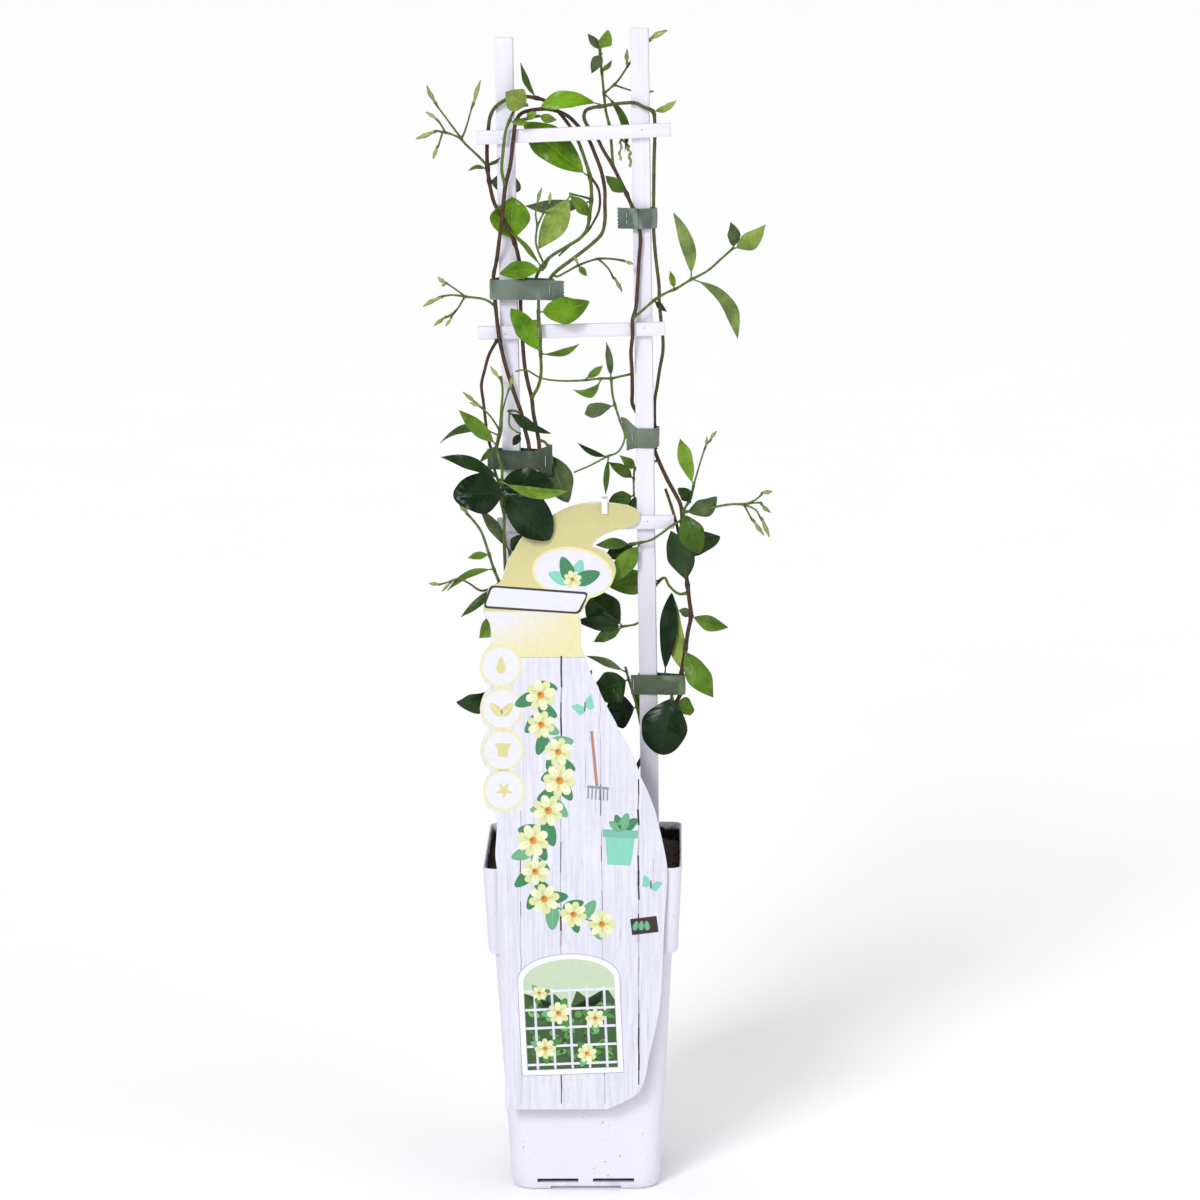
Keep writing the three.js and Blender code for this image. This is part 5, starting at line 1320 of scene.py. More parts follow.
def sign_print(art):
    """Four cream rings down the left edge: a drop, two leaves, a flowerpot and a star."""
    rings = [(-48.2, 324.2), (-47.9, 299.3), (-47.2, 275.2), (-46.7, 251.9)]
    for x, z in rings:
        art.disc(x, z, 25, 24.4, PALE_CREAM, 3)
        art.disc(x, z, 22.2, 21.6, CARD_WHITE, 4)
    at_drop, (x, z), at_pot, at_star = rings
    drop = [(0, 6), (2.2, 1.8), (3.2, -1), (2.2, -3.6), (0, -4.6), (-2.2, -3.6), (-3.2, -1), (-2.2, 1.8)]
    art.shape(turned(drop, *at_drop), CREAM, 5)
    for turn in (0.8, 2.34):
        art.leaf(x, z - 4, 10, turn, CREAM, 5)
    art.shape(turned([(-2.6, -4), (2.6, -4), (3.8, 2), (-3.8, 2)], *at_pot), CREAM, 5)
    art.shape(turned([(-4.6, 2), (4.6, 2), (4.6, 4), (-4.6, 4)], *at_pot), CREAM, 6)
    star = []
    for k in range(10):
        reach, angle = (5.4 if k % 2 else 2.2), k * math.pi / 5
        star.append((reach * math.sin(angle), reach * math.cos(angle)))
    art.shape(turned(star, *at_star), CREAM, 5)


def garland_print(art):
    """A garland of big daisies and leaves that hangs in a bow across the planks."""
    draw = np.random.default_rng(SEED + 1)
    bends = [(-27, 316), (-24, 290), (-13, 266), (-20, 240), (-30, 214), (-25, 190), (-6, 178), (12, 172)]
    curve, _ = route(bends, 3.0)
    for start, end in zip(curve, curve[1:]):
        art.line(*start, *end, 0.8, LEAF_INK, 3)
    for index in range(1, len(curve) - 1, 2):
        side = 1 if index % 4 == 1 else -1
        across, up = curve[index + 1] - curve[index - 1]
        art.leaf(*curve[index], draw.uniform(11, 16), math.atan2(up, across) + side * draw.uniform(0.7, 1.3),
                 LEAF_INK if draw.uniform() < 0.6 else LEAF_INK_PALE, 4 + 2 * (index // 2 % 3))
    for index in range(3, len(curve), 6):
        x, z = curve[index]
        art.daisy(x + draw.uniform(-2, 2), z, draw.uniform(16, 20), draw.uniform(0, 1),
                  11 + 5 * (index // 6 % 2))


def tool_print(art):
    """A mint flowerpot with a sprout, a rake's head, a small slate and two butterflies."""
    pot = [(-7, 0), (7, 0), (9, 17), (-9, 17)]
    collar = [(-10.4, 16), (10.4, 16), (10.8, 20.5), (-10.8, 20.5)]
    art.shape(turned(pot, 22, 208, -0.05), MINT, 3)
    art.shape(turned(collar, 22, 208, -0.05), shaded(MINT, 0.8), 4)
    for k, turn in enumerate((0.6, 1.2, 1.9, 2.5)):
        art.leaf(23.5, 228, 12 - k, turn, LEAF_INK_PALE if k % 2 else LEAF_INK, 3 + 2 * (k % 2))
    for x, z, turn, size in ((2, 300, 0.5, 1.0), (41, 196, -0.4, 0.9)):
        for side in (-1, 1):
            wing = [(0, 0), (3, 4), (7, 4.5), (6, 0.5), (5, -3), (2, -3)]
            art.shape(turned([(side * u, v) for u, v in wing], x, z, turn, size), MINT, 3)
        art.line(x, z - 2.5 * size, x + 0.2, z + 3 * size, 0.7, INK_BROWN, 4)
    art.line(6, 286, 9, 254, 1.8, CLAY, 3)
    for k in range(6):
        art.line(4 + k * 2.3, 253.5 - k * 0.2, 3.7 + k * 2.3, 246.5 - k * 0.2, 0.9, STEEL, 3)
    art.line(3.2, 253.8, 16.2, 252.6, 1.5, STEEL, 4)
    art.shape(turned([(-8, -5), (8, -5), (8, 5), (-8, 5)], 37, 171, 0.12), INK_BROWN, 3)
    for k in (-1, 0, 1):
        art.leaf(35 + k * 4, 168, 6, 1.5 + k * 0.2, LEAF_INK_PALE, 4)


def arch(width, height):
    """A doorway with a round top."""
    top = height / 2 - width / 4
    turns = [math.pi * i / 16 for i in range(17)]
    return [(-width / 2, -height / 2), (width / 2, -height / 2)] + [
        (width / 2 * math.cos(a), top + width / 4 * math.sin(a)) for a in turns]


def picture_print(art):
    """An arched picture: a pale sky, a dark hedge, and a trellis with cream blossoms before it."""
    draw = np.random.default_rng(SEED + 2)
    x, z, angle = -8, 116, math.radians(2)

    def spot(u, v):
        return turned([(u, v)], x, z, angle)[0]

    panes = [(62, 76, PLANK_LINE), (61, 75, shaded(CARD_WHITE, 1.12)), (55, 69, PICTURE_SKY)]
    for layer, (width, height, shade) in enumerate(panes, 3):
        art.shape(turned(arch(width, height), x, z, angle), shade, layer)
    hedge = [(-27.2, -34.2), (27.2, -34.2)]
    hedge += [(27.2 - 54.4 * k / 12, 8 + 6 * math.sin(k * 1.7) + 2 * (k % 2)) for k in range(13)]
    art.shape(turned(hedge, x, z, angle), HEDGE, 6)
    for _ in range(90):
        u, v = draw.uniform(-24, 24), draw.uniform(-31, 8)
        shade = shaded(HEDGE_LIGHT, draw.uniform(0.3, 3.0))
        art.disc(*spot(u, v), draw.uniform(2, 6), draw.uniform(2, 5), shade, 7, draw.uniform(0, 3), 12)
    for k in range(-2, 3):
        art.line(*spot(k * 10.5, -34), *spot(k * 10.5, 17), 1.5, shaded(CARD_WHITE, 0.9), 8)
        art.line(*spot(-27, k * 11.5 - 8), *spot(27, k * 11.5 - 8), 1.5, CARD_WHITE, 9)
    blossoms = [(-16, -21, 13, 0.6), (9, -25, 12, 2.2), (-7, 1, 14, 1.1), (15, -3, 12, 2.6),
                (-18, 14, 9, 0.2)]
    for u, v, size, turn in blossoms:
        for k in range(3):
            shade = LEAF_INK_PALE if k % 2 else TRELLIS_LEAF
            art.leaf(*spot(u, v), size * 0.75, turn + 2.1 * k, shade, 10 + 2 * k)
        art.daisy(*spot(u, v), size, draw.uniform(0, 1), 16)


# ---- the peg, the ties and their staples ----
# in millimetres
PEG = {"x": 14.4, "width": 3.6, "thickness": 1.3, "top": 422, "slot": 413.5, "depth": 11.5, "nose": 1.6,
       "leg": 9}
STAPLE = {"width": 7, "wire": 0.7, "fold": 2.2, "corner": 0.35}
TAPE = {"width": 12 * MM, "solid": 0.7 * MM, "gauge": 0.3 * MM, "step": 0.9 * MM, "rows": 13}
# how far apart the tape's creases are, how deep they are, and how hollow its edges stand
CREASE_SIZE = 7 * MM
CREASE = 0.22 * MM
TAPE_HOLLOW = 0.12 * MM
HELD_RADIUS = 1.5 * MM
HELD_REACH = 32 * MM


# side is of the ladder; holds are the stems in the band; root and end are where the tail leaves the
# band and where it ends; staple is a place along it; lift is how far its end sits above the band, and
# flare how much taller than the tape it is; crown is the side that the staple's back lies on; slant and
# point are how far the torn end leans, and comes to a point
Tie = namedtuple("Tie", "side height holds root end staple tone lift flare crown slant point",
                 defaults=[0, 1, 1, 0, 0])
TIES = {
    "tie_1": Tie(1, 590.5, ["right_stem"], (36, -9), (24, -10), 0.6, (0.098, 0.130, 0.110),
                 lift=0.5, flare=1.05, crown=-1),
    "tie_2": Tie(-1, 548, ["left_stem", "inner_stem", "fork_shoot"], (-22, -7.5), (-9, -8.5), 0.38,
                 (0.120, 0.165, 0.135), lift=-0.5),
    "tie_3": Tie(1, 458, ["right_stem"], (34, -6), (27, -4.5), 0.35, (0.135, 0.175, 0.120),
                 lift=2.5, flare=1.7, slant=2.4),
    "tie_4": Tie(-1, 444.5, ["left_stem", "inner_stem"], (-27, -3), (-16, -9), 0.62,
                 (0.050, 0.076, 0.048), lift=1, flare=1.6, point=5.5),
    "tie_5": Tie(1, 307, ["right_stem"], (36, -7), (29.7, -6.5), 0.78, (0.060, 0.085, 0.048)),
}


def hull(points):
    """The corners of the smallest round that holds the points, anticlockwise."""
    ordered = sorted(map(tuple, points))

    def chain(run):
        kept = []
        for x, y in run:
            while len(kept) > 1:
                (x1, y1), (x2, y2) = kept[-2:]
                if (x2 - x1) * (y - y1) - (y2 - y1) * (x - x1) > 0:
                    break
                kept.pop()
            kept.append((x, y))
        return kept[:-1]

    return np.array(chain(ordered) + chain(ordered[::-1]))


def held_spots(tie):
    """Where the stems that a tie holds run, beside its post and within its height."""
    reach = TAPE["width"] / 2 + 1 * MM
    held = []
    for name in tie.holds:
        for part in PLANT[name][1]:
            if isinstance(part, Stem):
                spots, _ = route(np.array(part.points, float) * MM, 1 * MM)
                beside = abs(spots[:, 0] - tie.side * POST["spacing"] / 2) < HELD_REACH
                held.append(spots[beside & (abs(spots[:, 2] - tie.height * MM) < reach)])
    return np.vstack(held)


def band_loop(tie, offset):
    """The band's way round the post and the stems beside it, seen from above."""
    reach = TAPE["width"] / 2 + 1 * MM
    held = [(x, y, HELD_RADIUS) for x, y, _ in held_spots(tie)]
    for x in (-POST["width"] / 2, POST["width"] / 2):
        for y in (-POST["thickness"] / 2, POST["thickness"] / 2):
            for level in (tie.height * MM - reach, tie.height * MM + reach):
                edge = in_ladder([POST["middle"] + tie.side * POST["spacing"] / 2 + x, y, level])
                held.append((edge[0], edge[1], 0.1 * MM))
    return hull([(x + (radius + offset) * math.cos(a), y + (radius + offset) * math.sin(a))
                 for x, y, radius in held for a in around(16)])


def evenly(points, step):
    """Points at even steps along a line of straight runs."""
    runs = np.linalg.norm(np.diff(points, axis=0), axis=1)
    marks = np.concatenate([[0], np.cumsum(runs)])
    count = max(2, round(marks[-1] / step) + 1)
    spots = np.linspace(0, marks[-1], count)
    return np.array([np.interp(spots, marks, axis) for axis in zip(*points)]).T


def tie_piece(name, tape):
    """One strip of tape: its front end, the way round what it holds, and its back end."""
    tie = TIES[name]
    draw = np.random.default_rng(SEED + int(tie.height))
    loop = band_loop(tie, GAP + TAPE["solid"] / 2)
    root, end = np.array(tie.root) * MM, np.array(tie.end) * MM
    if root[0] < end[0]:
        loop = loop[::-1]
    start = np.argmin(np.linalg.norm(loop - root, axis=1) + (loop[:, 1] > root[1]) * 2 * MM)
    layer = np.array([0, TAPE["gauge"] * 0.75])
    path = evenly(np.vstack([[end - layer, root - layer], np.roll(loop, -start, axis=0),
                             [root + layer, end + layer]]), TAPE["step"])
    ahead = directions(path)
    outward = np.column_stack([ahead[:, 1], -ahead[:, 0]])
    tail = np.linalg.norm(end - root)
    last, rows = len(path) - 1, TAPE["rows"]
    middle, places = [], []
    for index, place in enumerate(path):
        mark = index * TAPE["step"]
        near_end = max(1 - min(mark, last * TAPE["step"] - mark) / tail, 0)
        half = TAPE["width"] / 2 * (1 + (tie.flare - 1) * near_end)
        for row in range(rows):
            v = 2 * row / (rows - 1) - 1
            spot = Vector((mark / CREASE_SIZE, v * 0.8 + tie.height, 0))
            crease = CREASE * noise.fractal(spot, 0.8, 2.0, 4) - TAPE_HOLLOW * v * v
            torn = 0.0
            if index in (0, last):
                torn = 0.5 * (row % 2) + 0.4 * noise.noise(Vector((v * 4, tie.height, index)))
                torn += tie.slant * v - tie.point * abs(v)**1.5
                torn *= MM if index else -MM
            level = (tie.height + tie.lift * near_end) * MM + v * half
            middle.append((*(place + outward[index] * crease + ahead[index] * torn),
                           level + 0.15 * MM * noise.noise(spot * 0.7)))
            places.append((mark, v * TAPE["width"] / 2, draw.uniform(0, 1)))
    middle = np.array(middle)
    thick = np.repeat(np.column_stack([outward, np.zeros(len(path))]), rows, axis=0) * TAPE["gauge"] / 2
    held = held_spots(tie)
    gaps = np.array([np.linalg.norm(held - corner, axis=1).min() for corner in middle])
    # paler over each held stem: partly the tape's stretch, partly a painted highlight along the stem's ridge
    stretch_and_highlight = np.clip(1 - (gaps - HELD_RADIUS - TAPE["solid"]) / (0.8 * MM), 0, 1)
    tints = np.array([*tie.tone, 1]) * (1 + 1.1 * stretch_and_highlight[:, None] * [1, 1, 1, 0])
    form = Form()
    closed_sheet(form, middle + thick, middle - thick, len(path), rows, tint=tints, place=np.array(places))
    return form.build(name + "_tape", [tape], [name], "tape")


def staple_piece(name, tie, wire):
    """Wire through both layers of the tail: a back on one face and two folded legs on the other."""
    reach = TAPE["solid"] / MM + GAP / MM + STAPLE["wire"] / 2
    top = (STAPLE["width"] - STAPLE["wire"]) / 2
    turn = STAPLE["corner"]
    half = [(-reach, top * 0.4), (-reach, top - turn), (-reach + 0.1, top - 0.1), (-reach + turn, top),
            (reach - turn, top), (reach - 0.1, top - 0.1), (reach, top - turn),
            (reach - 0.15, top - STAPLE["fold"])]
    points = [(0, y, -z) for y, z in half[::-1]] + [(0, y, z) for y, z in half]
    root, end = np.array(tie.root), np.array(tie.end)
    angle = math.atan((end - root)[1] / (end - root)[0]) + (math.pi if tie.crown < 0 else 0)
    spun = np.array(Matrix.Rotation(angle, 3, "Z"))
    middle = root + tie.staple * (end - root)
    places, _ = route((np.array(points) @ spun.T + [*middle, tie.height]) * MM, 0.4 * MM)
    form = Form()
    tube(form, places, np.full(len(places), 0.3 * MM), 8)
    return form.build(name + "_wire", [wire], [name], "staple")


def peg_piece(material):
    """The hook of flat plastic that goes over the bottom rung and into the card's slot."""
    gauge, top, foot = PEG["thickness"], PEG["top"], PEG["slot"] - PEG["thickness"] / 2
    front = card_depth(PEG["slot"]) - (CARD_GAUGE / 2 + GAP) / MM - gauge
    back, nose = front + PEG["depth"], front + gauge + PEG["nose"]
    outline = [
        (front, foot), (nose, foot), (nose, foot + gauge), (front + gauge, foot + gauge),
        (front + gauge, top - gauge - 1), (front + gauge + 1, top - gauge), (back - gauge, top - gauge),
        (back - gauge, foot - PEG["leg"]), (back, foot - PEG["leg"]), (back, top - 1), (back - 1, top),
        (front + 1.5, top), (front, top - 1.5),
    ]
    form = Form()
    lofted(form, [np.array([(x, y, z) for y, z in outline]) * MM
                  for x in (PEG["x"] - PEG["width"] / 2, PEG["x"] + PEG["width"] / 2)])
    peg = plain(form, "label_hook")
    soften(peg, 0.42 * MM)
    peg.data.materials.append(material)
    smooth_over(peg, 50)
    return finished(peg, ["label_peg"], "peg")


# ---- the plant ----
BARK_TONE = (0.066, 0.036, 0.021, 0.3)
BARK_DARK = (0.042, 0.023, 0.014, 0.3)
BROWN_GREEN = (0.082, 0.080, 0.024, 0.3)
STEM_GREEN = (0.092, 0.148, 0.025, 0.35)
STEM_DARK = (0.040, 0.060, 0.014, 0.35)
# the colour of a leaf, and how much it shines
TONES = {
    "deep": (0.006, 0.022, 0.006, 1.0),
    "dark": (0.016, 0.042, 0.009, 0.9),
    "moss": (0.045, 0.098, 0.012, 0.7),
    "mid": (0.088, 0.180, 0.018, 0.65),
    "fresh": (0.145, 0.255, 0.027, 0.6),
    "light": (0.215, 0.305, 0.065, 0.3),
    "sage": (0.155, 0.225, 0.068, 0.3),
    "grey": (0.080, 0.120, 0.052, 0.3),
    "glossy": (0.110, 0.245, 0.010, 1.0),
}
GREENING = [(0, BARK_TONE), (0.3, BROWN_GREEN), (0.5, STEM_GREEN), (1, STEM_GREEN)]
# a stem's colours at shares of its length; the stems that aren't here are green
STEM_TONES = {
    "left_stem": [(0, BARK_DARK), (0.2, BARK_TONE), (0.78, BARK_TONE), (0.84, BROWN_GREEN), (1, STEM_GREEN)],
    "inner_stem": [(0, BARK_DARK), (0.2, BARK_TONE), (0.52, BARK_TONE), (0.56, BROWN_GREEN),
                   (0.64, STEM_GREEN), (0.67, BARK_TONE), (0.73, BARK_TONE), (0.78, STEM_GREEN),
                   (1, STEM_GREEN)],
    "right_stem": [(0, BARK_DARK), (0.3, BARK_TONE), (0.56, BARK_TONE), (0.6, BROWN_GREEN),
                   (0.86, BROWN_GREEN), (0.93, STEM_DARK), (1, BARK_DARK)],
    "front_shoot": GREENING,
    "lower_left_shoot": GREENING,
    "top_twig": [(0, STEM_GREEN), (1, BROWN_GREEN)],
    "tie_spray": [(0, STEM_GREEN), (0.6, BROWN_GREEN), (1, STEM_DARK)],
}


def plant_piece(name, skins):
    """One shoot or stem with all that grows from it."""
    slot, parts = PLANT[name]
    draw = np.random.default_rng(SEED + sum(map(ord, name)))
    form = Form()
    joints = [part.points[0] if isinstance(part, Stem) else part.base for part in parts]
    stem_tones = STEM_TONES.get(name, [(0, STEM_GREEN), (1, STEM_GREEN)])
    for part in parts:
        if isinstance(part, Stem):
            grow_stem(form, part, stem_tones, joints, draw)
        elif isinstance(part, Bud):
            grow_buds(form, part, draw)
        else:
            tone = np.array(TONES[part.tone])
            tone[:3] *= draw.uniform(0.88, 1.12) * draw.uniform(0.97, 1.03, 3)
            grow_leaf(form, part, tone, draw)
    return form.build(name + "_grown", skins, [name], slot, smooth=70)


# ---- finishes ----
POT_WHITE = (0.745, 0.722, 0.832)
POT_SHADE = (0.69, 0.668, 0.785)
POT_SPECK = (0.09, 0.06, 0.04)
POT_FOOT = (0.30, 0.26, 0.24)
SOIL_DARK = (0.010, 0.007, 0.005)
SOIL_BROWN = (0.052, 0.033, 0.020)
SOIL_FIBRE = (0.20, 0.13, 0.08)
PAINT_WHITE = (0.765, 0.752, 0.855)
PAINT_GREY = (0.70, 0.688, 0.79)
# painted shade: the grey that the ladder's paint turns towards its foot
PAINT_SHADE_GREY = (0.30, 0.28, 0.34)
PAINT_PORE = (0.52, 0.47, 0.50)
PAINT_SCUFF = (0.40, 0.35, 0.36)
RUST = (0.11, 0.045, 0.018)
BRAD_PAINT = (0.62, 0.60, 0.66)
PEG_WHITE = (0.88, 0.88, 0.90)
PEG_SHADE = (0.80, 0.80, 0.83)
STAPLE_GREY = (0.62, 0.63, 0.65)
STAPLE_SHADE = (0.42, 0.42, 0.43)
LEAF_PALE = (0.42, 0.47, 0.24)
# painted sheen: the pale blue-grey that glossy leaves are tinted towards where light would glance off them
LEAF_PAINTED_SHEEN = (0.13, 0.19, 0.155)
LEAF_SPECK = (0.09, 0.05, 0.015)
LEAF_VEIN = (0.50, 0.52, 0.26)
# how many pairs of veins a leaf has, and how far they run forward
VEINS, VEIN_SLANT = 8.5, 1.5
BARK_PORE = (0.30, 0.23, 0.16)
BUD_GREEN = (0.185, 0.275, 0.055)
BUD_YELLOW = (0.36, 0.40, 0.12)
BUD_TIP = (0.20, 0.17, 0.05)
CALYX_BROWN = (0.13, 0.07, 0.03)
CARD_EDGE = (0.55, 0.53, 0.52)
CARD_BOARD = (0.58, 0.575, 0.62)
CARD_PALE = (0.68, 0.67, 0.72)
FLOOR_WHITE = (0.98, 0.98, 0.985)
FLOOR_SHADE = (0.96, 0.96, 0.965)
WHITE = (1, 1, 1)
# heights in metres: where compost smears the pot's inside, how far grime reaches up the pot, and
# where the ladder's painted shade, greyer towards the bottom, is full and where it is gone
SMEAR_LEVEL = 0.203
FOOT_GRIME = 0.012
LADDER_FULL_SHADE, LADDER_SHADE_END = 0.34, 0.42


def pot_finish(inside):
    """Satin moulded plastic, with a few specks outside and compost smeared inside the rim."""
    made = Shader("pot_inside" if inside else "pot_plastic")
    place = made.place()
    _, _, z = made.axes(place)
    colour = made.mix(made.noise(place, 18, 3), POT_SHADE, POT_WHITE)
    specks = made.ramp(made.noise(place, 620, 1), 0.735, 0.76)
    patches = made.ramp(made.noise(place, 30, 2), 0.5, 0.62)
    colour = made.mix(specks * patches * 0.8, colour, POT_SPECK)
    roughness = 0.36 + made.noise(place, 40, 3) * 0.12
    height = made.noise(place, 900, 2)
    if inside:
        smear = made.ramp(made.noise(place, 75, 6, 0.68) + (SMEAR_LEVEL - z) * 42, 0.44, 0.62)
        colour = made.mix(smear, colour, SOIL_DARK)
        roughness = roughness + smear * 0.4
        height = height + smear * 3
    low = made.ramp(FOOT_GRIME - z, 0.0, FOOT_GRIME) * made.ramp(made.noise(place, 120, 4), 0.45, 0.75)
    colour = made.mix(low * 0.35, colour, POT_FOOT)
    bump = made.bump(height, 0.06 * MM)
    return made.set(Base_Color=colour, Roughness=roughness, Normal=bump, IOR=1.46)


def soil_finish():
    """Dark crumbs and paler fibres."""
    made = Shader("compost")
    place = made.place()
    shade = made.attribute("tint", "Fac")
    grain = made.noise(place, 420, 5, 0.7)
    colour = made.mix(made.ramp(grain + shade * 0.25 - 0.12, 0.35, 0.72), SOIL_DARK, SOIL_BROWN)
    flecks = made.ramp(made.noise(place, 900, 1), 0.72, 0.76)
    colour = made.mix(flecks, colour, SOIL_FIBRE)
    bump = made.bump(made.noise(place, 700, 5, 0.7), 1.1 * MM)
    return made.set(Base_Color=colour, Roughness=0.92, Normal=bump)


def paint_finish(colour_top, colour_low):
    """Thin paint on planed wood: fine grain along the strip, a few grubby spots, and painted shade that greys
    it towards the ladder's foot.
    """
    made = Shader("ladder_paint")
    along = made.attribute("place")
    grain = made.stretched_noise(along, (16, 700, 700), 5, 0.62)
    broad = made.stretched_noise(along, (12, 40, 40), 3)
    share = made.ramp(grain * 0.5 + broad * 0.5, 0.34, 0.56)
    colour = made.mix(share, colour_low, colour_top)
    pores = made.ramp(made.stretched_noise(along, (70, 1900, 1900), 2), 0.70, 0.75)
    colour = made.mix(pores * 0.25, colour, PAINT_PORE)
    scuffs = made.ramp(made.noise(made.place(), 60, 6, 0.7), 0.69, 0.76)
    colour = made.mix(scuffs * 0.4, colour, PAINT_SCUFF)
    _, _, z = made.axes(made.place())
    # painted shade: the paint turns greyer towards the bottom, standing in for the shade the label card casts
    # there
    low = made.ramp(LADDER_SHADE_END - z, 0.0, LADDER_SHADE_END - LADDER_FULL_SHADE)
    colour = made.mix(low * 0.36, colour, PAINT_SHADE_GREY)
    bump = made.bump(grain, 0.06 * MM, 0.6)
    return made.set(Base_Color=colour, Roughness=0.5 + grain * 0.2, Normal=bump)


def rust_finish():
    made = Shader("brad_rust")
    spots = made.noise(made.place(), 1800, 4)
    colour = made.mix(made.ramp(spots, 0.35, 0.6), RUST, BRAD_PAINT)
    return made.set(Base_Color=colour, Roughness=0.5 + spots * 0.3, Normal=made.bump(spots, 0.1 * MM))


def peg_finish():
    made = Shader("peg_plastic")
    cloud = made.noise(made.place(), 260, 3)
    colour = made.mix(cloud, PEG_SHADE, PEG_WHITE)
    return made.set(Base_Color=colour, Roughness=0.3 + cloud * 0.1, Normal=made.bump(cloud, 0.05 * MM))


def tape_finish():
    """Soft vinyl tying tape: smooth, a little paler where it is stretched over a stem, partly a painted
    highlight there, with fine lengthwise lines.
    """
    made = Shader("tying_tape")
    place, along = made.place(), made.attribute("place")
    tint = made.attribute("tint", "Color")
    cloud = made.noise(place, 70, 3, 0.5)
    shade = made.mix(made.ramp(cloud, 0.3, 0.7), (0.62, 0.66, 0.62), (1.15, 1.12, 1.1))
    lines = made.stretched_noise(along, (40, 900, 10), 3, 0.6)
    shade = made.mix(made.ramp(lines, 0.5, 0.8) * 0.4, shade, (1.9, 1.75, 1.8))
    bump = made.bump(lines + cloud * 3, 0.25 * MM)
    return made.set(Base_Color=made.tinted(tint, shade), Roughness=0.34 + lines * 0.2, Normal=bump)


def staple_finish():
    made = Shader("staple_wire")
    cloud = made.noise(made.place(), 900, 2)
    colour = made.mix(cloud, STAPLE_SHADE, STAPLE_GREY)
    return made.set(Base_Color=colour, Roughness=0.22 + cloud * 0.2, Metallic=1.0)


def vein_lines(t, across):
    """1 along the side veins of a leaf, 0 halfway between them."""
    return abs((t * VEINS - across * VEIN_SLANT).fraction() - 0.5) * 2


def leaf_finish():
    """The upper face: dark green beds between paler veins, under a waxy skin, with a pale painted sheen in
    patches on the glossier leaves.
    """
    made = Shader("leaf_face")
    tint, gloss = made.attribute("tint", "Color"), made.attribute("tint", "Alpha")
    u, t, _ = made.axes(made.attribute("place"))
    place = made.place()
    across = abs(u)
    patches = made.ramp(made.noise(place, 95, 4, 0.6), 0.3, 0.72)
    colour = made.tinted(tint, made.mix(patches, (0.55, 0.62, 0.52), (1.4, 1.3, 1.15)))
    midrib = made.ramp(0.07 - across, 0.0, 0.06)
    veins = vein_lines(t, across)
    vein = made.ramp(veins, 0.86, 1.0) * made.ramp(0.95 - across, 0.0, 0.3)
    rim = made.ramp(across, 0.88, 1.0)
    paler = made.tinted(tint, (2.1, 1.8, 1.6))
    colour = made.mix(midrib * 0.75, colour, paler)
    colour = made.mix(vein * 0.25, colour, paler)
    colour = made.mix(rim * 0.4, colour, made.tinted(tint, (0.6, 0.62, 0.5)))
    # painted sheen: pale patches on the glossier leaves stand in for reflected light
    painted_sheen = made.ramp(made.noise(place, 52, 1, 0.4), 0.5, 0.72) * gloss
    colour = made.mix(painted_sheen * 0.15, colour, made.mix(0.5, paler, LEAF_PAINTED_SHEEN))
    speck = made.ramp(made.noise(place, 900, 2), 0.72, 0.76) * made.ramp(made.noise(place, 60, 2), 0.5, 0.62)
    colour = made.mix(speck * 0.8, colour, LEAF_SPECK)
    grain = made.noise(place, 300, 2)
    swell = made.noise(place, 45, 1) * 5 - veins * 0.1 - midrib * 0.6 + grain * 0.1
    return made.set(Base_Color=colour, Roughness=0.47 - gloss * 0.27 + grain * 0.08, IOR=1.26,
                    Normal=made.bump(swell, 0.9 * MM, 0.8))


def leaf_back_finish():
    """The under face: paler, greyer and dull, its midrib raised."""
    made = Shader("leaf_back")
    tint = made.attribute("tint", "Color")
    u, t, _ = made.axes(made.attribute("place"))
    across = abs(u)
    cloud = made.noise(made.place(), 180, 4)
    pale = made.mix(0.45, tint, LEAF_PALE)
    colour = made.tinted(pale, made.mix(cloud, (0.75, 0.78, 0.72), (1.15, 1.12, 1.1)))
    midrib = made.ramp(0.09 - across, 0.0, 0.06)
    veins = made.ramp(vein_lines(t, across), 0.84, 1.0)
    colour = made.mix(midrib * 0.5 + veins * 0.15, colour, LEAF_VEIN)
    bump = made.bump(midrib * 1.5 + veins * 0.5 + cloud * 0.4, 0.4 * MM, 0.7)
    return made.set(Base_Color=colour, Roughness=0.6 + cloud * 0.1, Normal=bump)


def bark_finish():
    """Streaked skin with pale pores, in the stem's own colour."""
    made = Shader("stem_skin")
    tint = made.attribute("tint", "Color")
    place = made.place()
    streaks = made.stretched_noise(place, (900, 900, 160), 5, 0.65)
    shade = made.mix(made.ramp(streaks, 0.3, 0.7), (0.55, 0.55, 0.58), (1.5, 1.42, 1.35))
    colour = made.tinted(tint, shade)
    pores = made.ramp(made.noise(place, 1100, 1), 0.7, 0.74)
    colour = made.mix(pores * 0.45, colour, BARK_PORE)
    bump = made.bump(streaks + pores * 0.6, 0.35 * MM, 0.8)
    return made.set(Base_Color=colour, Roughness=0.46 + streaks * 0.2, Normal=bump, IOR=1.34)


